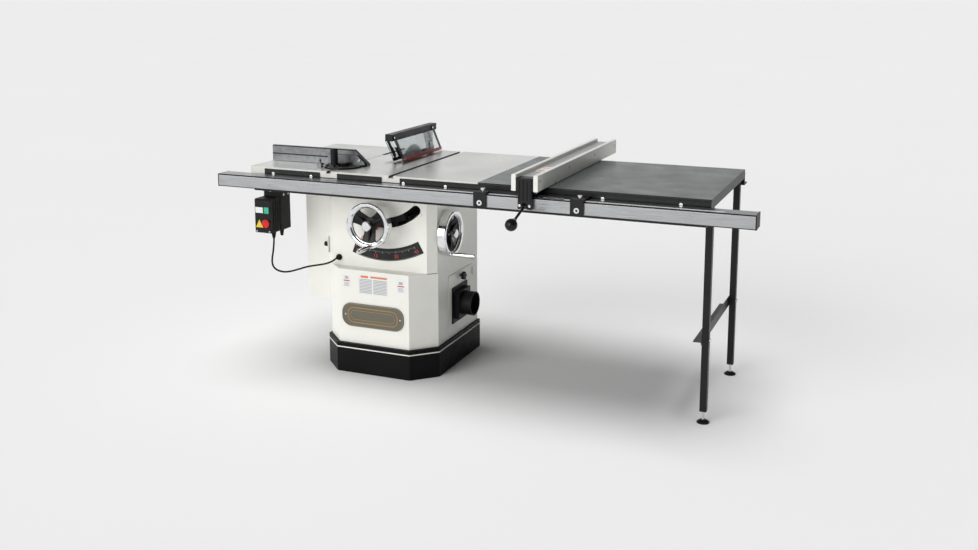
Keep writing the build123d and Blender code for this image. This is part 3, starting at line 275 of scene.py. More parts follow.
def make_rail_steel():
    """Brushed square tube, with painted shade: dark bands along its rounded top and bottom front corners."""
    s = metal("rail_steel", (0.42, 0.43, 0.44), 0.3, (0.015, 1, 1), 900.0, 0.00001, 0.14, 0.0)
    near, far = 0.0035, 0.0045          # the painted dark band's width, from the tube's edge
    near_top = s.remap(s.z, RAIL_HIGH.z - far, RAIL_HIGH.z - near)
    near_bottom = s.remap(s.z, RAIL_LOW.z + near, RAIL_LOW.z + far, 1.0, 0.0)
    front = s.remap(s.y, RAIL_LOW.y + 0.005, RAIL_LOW.y + 0.007, 1.0, 0.0)
    # painted shade: the corner bands are dark, rough and not metallic
    corner = s.math("MULTIPLY", s.math("MAXIMUM", near_top, near_bottom), front)
    base, rough = (s.bsdf.inputs[name].links[0].from_socket for name in ("Base Color", "Roughness"))
    s.set("Base Color", s.mix(corner, base, (0.006, 0.006, 0.007)))
    s.set("Metallic", s.math("SUBTRACT", 1.0, corner))
    s.set("Roughness", s.blend(corner, rough, 0.75))
    return s


RIM_START = 0.0732                # the chrome starts at this radius of a handwheel


def radial(s, centre, axis):
    """Distance from a line through centre along one of the object's axes."""
    keep = [0.0 if i == axis else 1.0 for i in range(3)]
    away = s.node("VectorMath", {0: s.place, 1: centre}, operation="SUBTRACT")
    flat = s.node("VectorMath", {0: away, 1: keep}, operation="MULTIPLY")
    return s.node("VectorMath", {0: flat}, output="Value", operation="LENGTH")


def make_handwheel(name, knob, axis):
    """Chrome rim and grip boss round a black dished centre. The knob lies on the wheel's axis."""
    s = Shader(name, Specular_IOR_Level=0.25)
    rim = s.remap(radial(s, middle(knob), axis), RIM_START, RIM_START + 0.001)
    smudge = s.noise(60.0, 5.0)
    black = s.mix(s.remap(smudge, 0.35, 0.7), (0.005, 0.005, 0.0055), (0.015, 0.015, 0.016))
    bright = s.mix(s.remap(smudge, 0.4, 0.8), (0.86, 0.87, 0.88), (0.68, 0.69, 0.7))
    s.set("Base Color", s.mix(rim, black, bright))
    s.set("Metallic", rim)
    dull, polished = s.remap(smudge, 0.3, 0.7, 0.3, 0.45), s.remap(smudge, 0.3, 0.8, 0.05, 0.16)
    s.set("Roughness", s.blend(rim, dull, polished))
    s.relief(s.noise(700.0, 2.0), 0.00002, radius=0.0012)
    return s


def chrome(name, tone=0.85, rough=0.09):
    """Plating with faint smudges."""
    s = Shader(name, Metallic=1.0)
    smudge = s.noise(70.0, 5.0)
    s.set("Base Color", s.mix(s.remap(smudge, 0.45, 0.8), (tone, tone, tone * 1.01), (tone * 0.8,) * 3))
    s.set("Roughness", s.remap(smudge, 0.3, 0.8, rough, rough + 0.12))
    s.relief(s.noise(300.0, 2.0), 0.000006, radius=0.0008)
    return s


def clear(name, tint=(0.86, 0.89, 0.89), rough=0.05):
    """Clear polycarbonate with hairline scratches."""
    s = Shader(name, Transmission_Weight=1.0, IOR=1.2, Specular_IOR_Level=0.4)
    scratch = s.noise(500.0, 4.0, (1, 0.12, 1))
    s.set("Base Color", s.mix(s.remap(scratch, 0.4, 0.7), tint, scaled(tint, 0.93)))
    s.set("Roughness", s.remap(scratch, 0.45, 0.75, rough, rough + 0.1))
    s.relief(scratch, 0.00001)
    return s


def make_plates():
    """The tilt scale is black and the nameplate below it an aged olive bronze."""
    s = Shader("panel_plates", Specular_IOR_Level=0.25)
    between = (0.40, 0.41)              # heights between the nameplate and the scale
    upper = s.remap(s.z, *between)
    fine = s.noise(1200.0, 3.0)
    cloud = s.noise(30.0, 4.0)
    black = s.mix(s.remap(cloud, 0.3, 0.7), (0.008, 0.008, 0.0085), (0.02, 0.02, 0.021))
    bronze = s.mix(s.remap(fine, 0.35, 0.65), (0.115, 0.11, 0.085), (0.19, 0.18, 0.14))
    s.set("Base Color", s.mix(upper, bronze, black))
    s.set("Metallic", s.remap(s.z, *between, 0.55, 0.0))
    s.set("Roughness", s.remap(cloud, 0.3, 0.7, 0.36, 0.5))
    s.relief(fine, 0.00005, radius=0.0006)
    return s


def masked(name, parts):
    """Several finishes on one node: (colour, metallic, roughness, mask). The first has no mask."""
    s = Shader(name, Specular_IOR_Level=0.28)
    cloud = s.noise(55.0, 4.0)
    fine = s.noise(1100.0, 2.0)
    colour, metallic, rough = parts[0]
    colour = s.mix(s.remap(cloud, 0.3, 0.7), scaled(colour, 0.85), scaled(colour, 1.2))
    for other, other_metallic, other_rough, mask in parts[1:]:
        share = mask(s)
        varied = s.mix(s.remap(cloud, 0.3, 0.7), scaled(other, 0.88), scaled(other, 1.1))
        colour = s.mix(share, colour, varied)
        metallic = s.blend(share, metallic, other_metallic)
        rough = s.blend(share, rough, other_rough)
    s.set("Base Color", colour)
    s.set("Metallic", metallic)
    s.set("Roughness", s.math("ADD", rough, s.remap(cloud, 0.3, 0.7, -0.05, 0.07)))
    s.relief(fine, 0.00003, radius=0.0007)
    return s


def make_blade_steel():
    """Ground saw plate: fine rings about the arbor, brighter carbide at the teeth. Its pale grey, not
    metallic, is a painted reflection that keeps the plate bright.
    """
    s = Shader("blade_steel", Metallic=0.0, Specular_IOR_Level=0.8)
    away = radial(s, middle("saw_blade"), 0)
    rings = s.node("TexNoise", {"W": away, "Scale": 2400.0, "Detail": 3.0}, noise_dimensions="1D")
    teeth = s.remap(away, 0.1175, 0.1195)
    # painted reflection: a pale grey base without metallic stands in for the plate's bright reflection
    plate = s.mix(s.remap(rings, 0.3, 0.7), (0.70, 0.71, 0.71), (0.84, 0.845, 0.85))
    s.set("Base Color", s.mix(teeth, plate, (0.93, 0.93, 0.92)))
    s.set("Roughness", s.remap(rings, 0.3, 0.7, 0.22, 0.34))
    s.relief(rings, 0.00001, radius=0.0003)
    return s


cream_paint = painted("cream_paint", CREAM, 0.38, vary=0.025, chip=(0.62, 0.6, 0.54), wear=0.35)
black_paint = painted("black_paint", (0.007, 0.007, 0.0075), 0.34, vary=0.3, chip=(0.14, 0.14, 0.14),
                      wear=0.5, coat=0.0, specular=0.28)
plinth_paint = painted("plinth_paint", (0.003, 0.003, 0.0032), 0.42, vary=0.3, chip=(0.1, 0.1, 0.1),
                       wear=0.5, coat=0.0, specular=0.13)
dark_casting = painted("dark_casting", (0.06, 0.065, 0.07), 0.55, peel=0.00025, vary=0.15, coat=0.0)
motor_enamel = painted("motor_enamel", (0.05, 0.065, 0.075), 0.35, vary=0.12)
red_paint = painted("red_paint", (0.58, 0.03, 0.025), 0.35, vary=0.08)
white_label = painted("white_label", (0.82, 0.82, 0.81), 0.42, peel=0.00001, vary=0.03, wear=0.0)
orange_ink = painted("orange_ink", (0.75, 0.2, 0.05), 0.45, peel=0.00001, vary=0.06, wear=0.0)
yellow_ink = painted("yellow_ink", (0.85, 0.6, 0.04), 0.4, peel=0.00001, vary=0.05, wear=0.0)
grey_ink = painted("grey_ink", (0.42, 0.43, 0.45), 0.5, peel=0.00001, vary=0.08, wear=0.0)
black_plastic = plastic("black_plastic", (0.006, 0.006, 0.0065), 0.45, specular=0.22)
gloss_black = plastic("gloss_black", (0.005, 0.005, 0.0055), 0.2, 500.0, 0.00001, 0.35)
rubber = plastic("rubber", (0.006, 0.006, 0.006), 0.62, 2200.0, 0.00008, 0.2)
green_plastic = plastic("green_plastic", (0.03, 0.42, 0.25), 0.32, 900.0, 0.00002)
red_plastic = plastic("red_plastic", (0.55, 0.008, 0.012), 0.3, 900.0, 0.00002)
fence_board = plastic("fence_board", (0.78, 0.78, 0.735), 0.38, 1300.0, 0.00003, vary=0.035)
aluminium = metal("aluminium", (0.50, 0.51, 0.52), 0.34, (0.02, 1, 1), 1400.0)
turned_steel = metal("turned_steel", (0.62, 0.62, 0.63), 0.26, (1, 1, 1), 1800.0)
zinc_steel = metal("zinc_steel", (0.72, 0.73, 0.72), 0.28, (1, 1, 1), 900.0)
bar_steel = metal("bar_steel", (0.55, 0.55, 0.56), 0.28, (1, 0.02, 1), 1500.0)
pawl_steel = metal("pawl_steel", (0.55, 0.55, 0.56), 0.35, (1, 1, 0.1), 1500.0)
dark_steel = metal("dark_steel", (0.12, 0.12, 0.125), 0.38, (1, 1, 1), 900.0)
bronze = metal("bronze", (0.26, 0.245, 0.19), 0.4, (1, 1, 1), 1200.0, 0.00004)
copper = metal("copper", (0.52, 0.31, 0.14), 0.38, (1, 1, 1), 1200.0, 0.00003)
polished_chrome = chrome("polished_chrome")
satin_chrome = chrome("satin_chrome", 0.78, 0.2)
clear_plastic = clear("clear_plastic", (0.74, 0.77, 0.77), 0.02)
lens_plastic = clear("lens_plastic", (0.9, 0.93, 0.93), 0.03)
ground_iron = make_ground_iron()
laminate = make_laminate()
rail_steel = make_rail_steel()
panel_plate = make_plates()
blade_steel = make_blade_steel()
front_wheel = make_handwheel("front_wheel", "elevation_lock_knob", 1)
side_wheel = make_handwheel("side_wheel", "tilt_lock_knob", 0)

FOOT_PAD_TOP = 0.0136             # the rubber pad ends here and the steel screw starts
LEG_INNER_X = 1.3520              # the legs' shaded inner faces lie left of this
LEVER_COLLAR = (-0.5564, -0.5431)
GLIDE_FRONT = RAIL_LOW.y - 0.0081           # the glides' plates end here, and their bolt heads start
GLIDE_TOP = RAIL_HIGH.z + 0.0091            # the same on top
BEAM_Y = RAIL_LOW.y + 0.028                 # the beam starts behind the T-square's head
BEAM_Z = FENCE_LOW.z + 0.0012
GROOVE = (MITRE_LOW.z + 0.0275, MITRE_LOW.z + 0.0325)
GROOVE_END_X = -0.19
HEAD_FACE_Y = PIVOT_Y + 0.0215              # the bright front face of the mitre head
HEAD_FACE_Z = TABLE_TOP + 0.0085

foot_finish = masked("foot_finish", [
    (DARK, 0.0, 0.45),
    (BRIGHT, 1.0, 0.2, lambda s: s.remap(s.z, FOOT_PAD_TOP, FOOT_PAD_TOP + 0.0005))])
leg_paint_painted_shade = masked("leg_paint_painted_shade", [
    ((0.005, 0.005, 0.0055), 0.0, 0.36),
    # painted light and shade: a paler grey on the legs' inner faces, left of LEG_INNER_X, than on the rest of
    # their black paint
    ((0.05, 0.053, 0.056), 0.0, 0.4, lambda s: s.remap(s.x, LEG_INNER_X, LEG_INNER_X + 0.0006, 1.0, 0.0))])
glide_finish = masked("glide_finish", [
    (DARK, 0.0, 0.42),
    ((0.74, 0.75, 0.75), 0.2, 0.3, lambda s: s.remap(s.y, GLIDE_FRONT - 0.0003, GLIDE_FRONT, 1.0, 0.0)),
    (BRIGHT, 1.0, 0.22, lambda s: s.remap(s.z, GLIDE_TOP, GLIDE_TOP + 0.0003))])
lever_finish = masked("lever_finish", [
    (DARK, 0.0, 0.24), (BRIGHT, 1.0, 0.14, lambda s: s.band(s.y, *LEVER_COLLAR))])
fence_metal = masked("fence_metal", [
    (DARK, 0.0, 0.36),
    ((0.55, 0.56, 0.55), 0.6, 0.38,
     lambda s: s.math("MULTIPLY", s.remap(s.z, BEAM_Z, BEAM_Z + 0.0006),
                      s.remap(s.y, BEAM_Y, BEAM_Y + 0.0005)))])
mitre_aluminium = masked("mitre_aluminium", [
    ((0.19, 0.195, 0.2), 0.8, 0.36),
    # painted shade: the groove along the fence's face is coloured near-black
    (DARK, 0.0, 0.5, lambda s: s.math("MULTIPLY", s.band(s.z, *GROOVE),
                                      s.remap(s.x, GROOVE_END_X, GROOVE_END_X + 0.001, 1.0, 0.0))),
    ((0.05, 0.05, 0.052), 0.4, 0.35, lambda s: s.remap(s.z, MITRE_HIGH.z - 0.004, MITRE_HIGH.z - 0.0035))])
mitre_head_finish = masked("mitre_head_finish", [
    (DARK, 0.0, 0.34),
    ((0.17, 0.175, 0.18), 0.8, 0.36,
     lambda s: s.math("MULTIPLY", s.facing(OUT),
                      s.math("MULTIPLY", s.remap(s.y, HEAD_FACE_Y, HEAD_FACE_Y + 0.0004),
                             s.remap(s.z, HEAD_FACE_Z, HEAD_FACE_Z + 0.0005))))])

finishes = {
    cream_paint: "cabinet_shell motor_cover dust_door",
    plinth_paint: "plinth",
    ground_iron: "main_table table_wings",
    aluminium: "table_insert",
    mitre_aluminium: "mitre_fence",
    laminate: "extension_table",
    black_paint: "rail_angles switch_bracket guard_bar",
    mitre_head_finish: "mitre_head",
    rail_steel: "front_rail_tube",
    black_plastic: "rail_end_caps switch_box motor_cover_knob dust_port dust_door_knob mitre_handle "
                   "left_link_front left_link_rear right_link_front right_link_rear",
    zinc_steel: "machine_screws",
    leg_paint_painted_shade: "leg_frame",
    foot_finish: "foot_front foot_rear",
    dark_casting: "trunnion_brackets tilt_trunnion arbor_arm motor_pulley",
    panel_plate: "panel_plates",
    rubber: "cable_glands drive_belts switch_cord",
    red_paint: "tilt_pointer",
    bar_steel: "splitter mitre_bar",
    pawl_steel: "kickback_pawls",
    clear_plastic: "left_shield right_shield",
    lens_plastic: "cursor_lens",
    motor_enamel: "motor",
    turned_steel: "arbor_shaft elevation_shaft tilt_shaft",
    blade_steel: "saw_blade",
    front_wheel: "elevation_handwheel",
    side_wheel: "tilt_handwheel",
    polished_chrome: "elevation_grip tilt_grip",
    satin_chrome: "elevation_lock_knob tilt_lock_knob",
    green_plastic: "start_button",
    red_plastic: "stop_button",
    fence_metal: "fence_t_square",
    fence_board: "fence_faces",
    glide_finish: "rail_glides",
    lever_finish: "fence_lever",
}
for shader, names in finishes.items():
    for name in names.split():
        nodes[name].data.materials.clear()
        nodes[name].data.materials.append(shader.material)


# ---- cord ----
CORD_DIAMETER = 0.0075
# x, distance behind the table's front edge, and height
CORD_ROUTE = [(-0.435, 0.04, 0.569), (-0.435, 0.04, 0.541), (-0.439, 0.037, 0.499), (-0.446, 0.034, 0.457),
              (-0.44, 0.036, 0.429), (-0.42, 0.046, 0.413), (-0.39, 0.059, 0.408), (-0.352, 0.077, 0.418),
              (-0.312, 0.091, 0.432), (-0.268, 0.101, 0.441), (-0.228, 0.105, 0.449), (-0.2, 0.112, 0.461),
              (-0.187, 0.124, 0.473), (-0.187, 0.1449, 0.473)]


def make_cord():
    """The lead that hangs from the switch box to the control panel."""
    curve = bpy.data.curves.new("cord", "CURVE")
    curve.dimensions = "3D"
    spline = curve.splines.new("NURBS")
    spline.points.add(len(CORD_ROUTE) - 1)
    for point, (x, behind, z) in zip(spline.points, CORD_ROUTE):
        point.co = (x, FRONT + behind, z, 1)
    spline.order_u = 3
    spline.use_endpoint_u = True
    spline.resolution_u = 12
    curve.bevel_depth = CORD_DIAMETER / 2
    curve.bevel_resolution = 6
    curve.use_fill_caps = True
    curve.materials.append(rubber.material)
    cord = bpy.data.objects.new("switch_lead", curve)
    scene.collection.objects.link(cord)
    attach(cord, "frame")
    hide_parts("switch_cord")


make_cord()


# ---- small pieces ----
def place(centre, toward, up=UP):
    """A frame at centre whose local z looks along toward, and whose local y leans to up."""
    z = Vector(toward).normalized()
    x = Vector(up).cross(z).normalized()
    y = z.cross(x)
    return Matrix.Translation(centre) @ Matrix((x, y, z)).transposed().to_4x4()


def rounded_outline(width, height, radius, steps=6):
    """A rounded rectangle about the origin, counter-clockwise."""
    points = []
    for corner, (sx, sy) in enumerate(((1, 1), (-1, 1), (-1, -1), (1, -1))):
        for step in range(steps + 1):
            angle = math.radians(90 * corner + 90 * step / steps)
            points.append((sx * (width / 2 - radius) + radius * math.cos(angle),
                           sy * (height / 2 - radius) + radius * math.sin(angle)))
    return points


def circle(radius, count):
    """Points of a circle about the origin, counter-clockwise."""
    angles = (2 * math.pi * i / count for i in range(count))
    return [(radius * math.cos(a), radius * math.sin(a)) for a in angles]


class Shape:
    """Collects closed solids into one mesh, in the object's frame."""

    def __init__(self):
        self.mesh = bmesh.new()

    def prism(self, outline, depth, frame_matrix):
        """Raises an outline of (x, y) points by depth along local z."""
        low = [self.mesh.verts.new(frame_matrix @ Vector((x, y, 0))) for x, y in outline]
        high = [self.mesh.verts.new(frame_matrix @ Vector((x, y, depth))) for x, y in outline]
        self.mesh.faces.new(low[::-1])
        self.mesh.faces.new(high)
        self.wall(low, high)
        return self

    def wall(self, low, high):
        for i in range(len(low)):
            j = (i + 1) % len(low)
            self.mesh.faces.new((low[i], low[j], high[j], high[i]))

    def band(self, outer, inner, depth, frame_matrix):
        """A closed ring between two outlines with the same number of points."""
        rings = []
        for outline, z in ((outer, 0), (outer, depth), (inner, depth), (inner, 0)):
            rings.append([self.mesh.verts.new(frame_matrix @ Vector((x, y, z))) for x, y in outline])
        for low, high in zip(rings, rings[1:] + rings[:1]):
            self.wall(low, high)
        return self

    def box(self, x0, x1, y0, y1, z0, z1):
        outline = [(x0, y0), (x1, y0), (x1, y1), (x0, y1)]
        return self.prism(outline, z1 - z0, Matrix.Translation((0, 0, z0)))

    def turned(self, profile, frame_matrix, steps):
        """Turns (radius, height) points about local z. The profile starts and ends on the axis."""
        low = self.mesh.verts.new(frame_matrix @ Vector((0, 0, profile[0][1])))
        high = self.mesh.verts.new(frame_matrix @ Vector((0, 0, profile[-1][1])))
        rings = []
        for radius, height in profile[1:-1]:
            ring = []
            for step in range(steps):
                angle = 2 * math.pi * step / steps
                spot = Vector((radius * math.cos(angle), radius * math.sin(angle), height))
                ring.append(self.mesh.verts.new(frame_matrix @ spot))
            rings.append(ring)
        for below, above in zip(rings, rings[1:]):
            self.wall(below, above)
        for i in range(steps):
            j = (i + 1) % steps
            self.mesh.faces.new((low, rings[0][j], rings[0][i]))
            self.mesh.faces.new((high, rings[-1][i], rings[-1][j]))
        return self

    def piece(self, name, shader, body, slot, bevel=0.0):
        bmesh.ops.recalc_face_normals(self.mesh, faces=self.mesh.faces)
        mesh = bpy.data.meshes.new(name)
        self.mesh.to_mesh(mesh)
        self.mesh.free()
        mesh.shade_smooth()
        mesh.set_sharp_from_angle(angle=math.radians(32))
        mesh.materials.append(shader.material)
        made = bpy.data.objects.new(name, mesh)
        scene.collection.objects.link(made)
        if bevel:
            modifier = made.modifiers.new("edge", "BEVEL")
            modifier.width = bevel
            modifier.segments = 2
            modifier.limit_method = "ANGLE"
        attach(made, body)
        return made


def socket_screw(shape, centre, toward, radius=0.004, height=0.003):
    """A socket-head screw: a chamfered head with a hexagonal recess."""
    spot = place(centre, toward)
    head = [(0, 0), (radius, 0), (radius, height * 0.8), (radius * 0.85, height)]
    recess = [(radius * 0.5, height), (radius * 0.45, height * 0.4), (0, height * 0.4)]
    shape.turned(head + recess, spot, 12)


def domed(shape, centre, toward, radius, height):
    """A low domed rivet head."""
    profile = [(0, 0), (radius, 0)]
    for step in range(1, 5):
        angle = math.radians(step * 20)
        profile.append((radius * math.cos(angle), height * math.sin(angle)))
    profile.append((0, height))
    shape.turned(profile, place(centre, toward), 16)


def footprint(half, corner):
    """The plinth's outline: a square whose two front corners are cut."""
    return [(-half + corner, -half), (half - corner, -half), (half, -half + corner), (half, half),
            (-half, half), (-half, -half + corner)]


def make_plinth_trim():
    """A pale line round the plinth."""
    corner, proud, buried = 0.092, 0.0016, 0.001
    bottom, height = 0.1045, 0.0045
    outer = footprint(PLINTH_HALF + proud, corner + proud * 0.6)
    inner = footprint(PLINTH_HALF - buried, corner)
    trim = Shape().band(outer, inner, height, Matrix.Translation((0, 0, bottom)))
    trim.piece("plinth_trim", cream_paint, "frame", "cream_paint", 0.0004)


def field(shape, x0, x1, z0, z1, lift, depth, face=PANEL_Y, radius=0.002):
    """A thin plate on a front face, lifted clear of what it lies on."""
    spot = place(((x0 + x1) / 2, face - lift, (z0 + z1) / 2), OUT)
    shape.prism(rounded_outline(x1 - x0, z1 - z0, radius), depth, spot)


def make_labels():
    """Three plain labels: white sheets with blank coloured fields."""
    sheets, greys, reds, oranges = Shape(), Shape(), Shape(), Shape()
    for x0, x1, z0, z1 in ((-0.1436, -0.1057, 0.3627, 0.4157), (-0.069, 0.068, 0.3405, 0.4235),
                           (0.1067, 0.1466, 0.3618, 0.4242)):
        field(sheets, x0, x1, z0, z1, 0.0, 0.0003)
    ink = (0.0003, 0.0002)              # lift and depth, on top of the sheets
    for x0, x1 in ((-0.139, -0.110), (0.112, 0.142)):
        field(reds, x0, x1, 0.389, 0.3935, *ink, radius=0.001)
        field(greys, x0 + 0.006, x1 - 0.006, 0.398, 0.410, *ink, radius=0.003)
        for row in range(4):
            z = 0.368 + row * 0.0045
            field(greys, x0 + 0.003, x1 - 0.003, z, z + 0.0022, *ink, radius=0.0008)
    field(oranges, -0.058, -0.022, 0.4105, 0.4195, *ink, radius=0.0044)
    field(oranges, -0.012, 0.064, 0.412, 0.4195, *ink, radius=0.001)
    for x0, x1 in ((-0.064, -0.006), (0.0, 0.063)):
        for row in range(10):
            z = 0.346 + row * 0.0062
            field(greys, x0, x1, z, z + 0.0034, *ink, radius=0.0012)
    sheets.piece("label_sheets", white_label, "frame", "cream_paint")
    greys.piece("label_grey_fields", grey_ink, "frame", "cream_paint")
    reds.piece("label_red_bars", red_paint, "frame", "red_paint")
    oranges.piece("label_orange_bars", orange_ink, "frame", "red_paint")


def make_nameplate():
    """A raised border, an inner line and two rivets on the blank oval plate."""
    centre = (-0.004, PANEL_Y - 0.003, 0.248)
    spot = place(centre, OUT)
    border = Shape()
    outer, inner = rounded_outline(0.285, 0.099, 0.0415, 12), rounded_outline(0.277, 0.091, 0.0375, 12)
    border.band(outer, inner, 0.0016, spot)
    border.piece("nameplate_border", bronze, "frame", "plate_metal", 0.0005)
    line = Shape()
    for outer, inner in (((0.232, 0.066, 0.028), (0.226, 0.060, 0.025)),
                         ((0.206, 0.040, 0.018), (0.203, 0.037, 0.0165))):
        line.band(rounded_outline(*outer, 12), rounded_outline(*inner, 12), 0.001, spot)
    line.piece("nameplate_line", copper, "frame", "plate_metal", 0.0003)
    rivets = Shape()
    for side in (-1, 1):
        domed(rivets, (centre[0] + side * 0.127, centre[1], centre[2]), OUT, 0.004, 0.0022)
    rivets.piece("nameplate_rivets", satin_chrome, "frame", "chrome")


def dial_point(radius, degrees):
    """A point of the tilt scale, by angle from straight down about the tilt axis."""
    angle = math.radians(degrees)
    return Vector((BLADE_X + radius * math.sin(angle), 0, TABLE_TOP - radius * math.cos(angle)))


def tick(width, length):
    """The outline of one mark, about its middle."""
    x, y = width / 2, length / 2
    return [(-x, -y), (x, -y), (x, y), (-x, y)]


DIAL_ZERO = -19.7                 # where 0 stands on the scale, in degrees from straight down
TICK_RADIUS, NUMERAL_RADIUS = 0.347, 0.3705
INK = 0.0002                      # thickness of printed marks


def make_tilt_scale():
    """Degree marks and red numerals on the black scale."""
    ticks = Shape()
    for degree in range(46):
        width, length = (0.0012, 0.011) if degree % 5 == 0 else (0.0008, 0.006)
        angle = DIAL_ZERO + degree
        spot = dial_point(TICK_RADIUS + length / 2, angle)
        spot.y = DIAL_FACE
        outward = dial_point(1.0, angle) - dial_point(0.0, angle)
        ticks.prism(tick(width, length), INK, place(spot, OUT, outward))
    border = []
    for radius, sweep in ((0.3845, 1), (0.3835, -1)):
        steps = [DIAL_ZERO + 0.6 + i for i in range(47)]
        border.append([dial_point(radius, a) for a in steps][::sweep])
    outline = [(p.x, p.z) for p in border[0] + border[1]]
    flat = Matrix.Translation((0, DIAL_FACE, 0)) @ Matrix.Rotation(math.pi / 2, 4, "X")
    ticks.prism(outline, INK, flat)
    ticks.piece("tilt_scale_marks", grey_ink, "frame", "plate_metal")
    for degree in (0, 15, 30, 45):
        text = bpy.data.curves.new("tilt_numeral_%d" % degree, "FONT")
        text.body = str(degree)
        text.size = 0.021
        text.extrude = 0.00015
        text.align_x = text.align_y = "CENTER"
        text.materials.append(red_paint.material)
        numeral = bpy.data.objects.new(text.name, text)
        inset = 1.6 if degree == 0 else 0       # keeps the 0 clear of the scale's end
        spot = dial_point(NUMERAL_RADIUS, DIAL_ZERO + degree + inset)
        spot.y = DIAL_FACE - INK
        inward = dial_point(0.0, 0) - dial_point(1.0, DIAL_ZERO + degree)
        numeral.matrix_world = place(spot, OUT, inward)
        scene.collection.objects.link(numeral)
        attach(numeral, "frame")


# (radius, height) sections of flush screw heads, from the axis below to the recess
BOARD_SCREW = [(0, -0.001), (0.0042, -0.001), (0.0042, 0.0002), (0.0036, 0.0003), (0.0012, 0.0003),
               (0.0009, -0.0006), (0, -0.0006)]
FENCE_SCREW = [(0, -0.002), (0.0044, -0.002), (0.0044, 0.0001), (0.0038, 0.0003), (0.0022, 0.0003),
               (0.0018, -0.0008), (0, -0.0008)]
INSERT_SCREW = [(0, -0.003), (0.003, -0.003), (0.003, 0.0001), (0.0024, 0.0001), (0.0015, -0.0015),
                (0, -0.0015)]


def make_extension_screws():
    """Countersunk screws that fix the board to its cleats, flush with the top."""
    heads = Shape()
    for y in (-0.315, 0.010, 0.318):
        for x in (0.545, 0.712, 0.877, 1.045, 1.212, 1.378):
            heads.turned(BOARD_SCREW, place((x, y, TABLE_TOP), UP), 14)
    heads.piece("extension_screws", zinc_steel, "frame", "bright_steel")


def make_fence_details():
    """Screws in the boards, a label on the beam, ribs and bolts on the T-square."""
    screws = Shape()
    for index, y in enumerate((-0.430, -0.262, -0.095, 0.070, 0.238, 0.402, 0.530)):
        z = FENCE_LOW.z + (0.037 if index % 2 == 0 else 0.0065)
        for x, toward in ((FENCE_HIGH.x, RIGHT), (FENCE_LOW.x, LEFT)):
            screws.turned(FENCE_SCREW, place((x, y, z), toward), 14)
    screws.piece("fence_screws", dark_steel, "fence", "bright_steel")

    tube_top, label_y, sheet = FENCE_HIGH.z - 0.013, -0.235, 0.0003
    away = (0, 1, 0)
    label = Shape()
    spot = place((FENCE_X, label_y, tube_top), UP, away)
    label.prism(rounded_outline(0.040, 0.110, 0.004), sheet, spot)
    label.piece("fence_label", white_label, "fence", "fence_board")
    bars = Shape()
    spot = place((FENCE_X, label_y, tube_top + sheet), UP, away)
    for half_width, low, high in ((0.013, -0.044, -0.026), (0.015, 0.018, 0.030)):
        outline = [(-half_width, low), (half_width, low), (half_width, high), (-half_width, high)]
        bars.prism(outline, INK, spot)
    bars.piece("fence_label_bars", orange_ink, "fence", "red_paint")

    ribs = Shape()
    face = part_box("fence_t_square")[0].y
    for x in (-0.0225, -0.0075, 0.0075, 0.0225):
        spot = place((FENCE_X + x, face, 0.868), OUT)
        ribs.prism(rounded_outline(0.005, 0.074, 0.0015, 3), 0.0022, spot)
    ribs.piece("fence_head_ribs", black_plastic, "fence", "black_paint", 0.0004)
    bolts = Shape()
    for x in (-0.019, 0.019):
        socket_screw(bolts, (FENCE_X + x, face, 0.812), OUT, 0.0055, 0.0042)
    for y in (-0.405, -0.372):
        socket_screw(bolts, (FENCE_X + 0.027, y, 0.852), RIGHT, 0.0052, 0.004)
    for x in (0.055, 0.105):
        socket_screw(bolts, (FENCE_X + x, -0.399, LENS_HIGH.z), UP, 0.0045, 0.003)
    bolts.piece("fence_head_bolts", polished_chrome, "fence", "chrome")


def make_rail_tape():
    """A blank measuring strip on the tube, with a mark every 10 mm."""
    y0, y1, z = LENS_LOW.y + 0.004, LENS_HIGH.y - 0.004, RAIL_HIGH.z
    thick, half_mark = 0.00015, 0.0004
    strip = Shape().box(0.07, 1.45, y0, y1, z, z + thick)
    strip.piece("rail_tape", white_label, "frame", "rail_steel")
    marks = Shape()
    for index in range(138):
        x = 0.075 + index * 0.01
        reach = 0.009 if index % 5 == 0 else 0.005
        marks.box(x - half_mark, x + half_mark, y0, y0 + reach, z + thick, z + 0.00025)
    marks.piece("rail_tape_marks", rubber, "frame", "black_plastic")


LINK_LEAN = 80.0 / 102.0          # how far the links lean forward per unit of height
LINK_END = 0.008                  # radius of a link's upper end
LINK_INNER, LINK_OUTER = 0.0168, 0.0193     # a link's faces, from the blade's plane
RIVET_HEIGHT = 0.0006             # less than the gap that a shield slides through


def across(x):
    """A frame at x whose local x and y are the object's Y and Z."""
    return Matrix(((0, 0, 1, x), (1, 0, 0, 0), (0, 1, 0, 0), (0, 0, 0, 1)))


def make_link_webs():
    """Flat webs that stiffen the front links, across their leading edges."""
    thick = 0.0025
    for side, name in ((-1, "left"), (1, "right")):
        low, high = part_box(name + "_link_front")
        near, far = BLADE_X + side * LINK_INNER, BLADE_X + side * 0.0045
        top_z, bottom_z = high.z - 0.052, low.z + 0.022
        pin_y, pin_z = low.y + LINK_END, high.z - LINK_END
        y_top = pin_y + (pin_z - top_z) * LINK_LEAN - 0.0085
        y_bottom = pin_y + (pin_z - bottom_z) * LINK_LEAN - 0.0075
        outline = [(y_top, top_z), (y_bottom, bottom_z), (y_bottom + thick, bottom_z), (y_top + thick, top_z)]
        web = Shape().prism(outline, abs(near - far), across(min(near, far)))
        web.piece(name + "_front_link_web", black_paint, name + "_front_link", "black_paint", 0.0004)


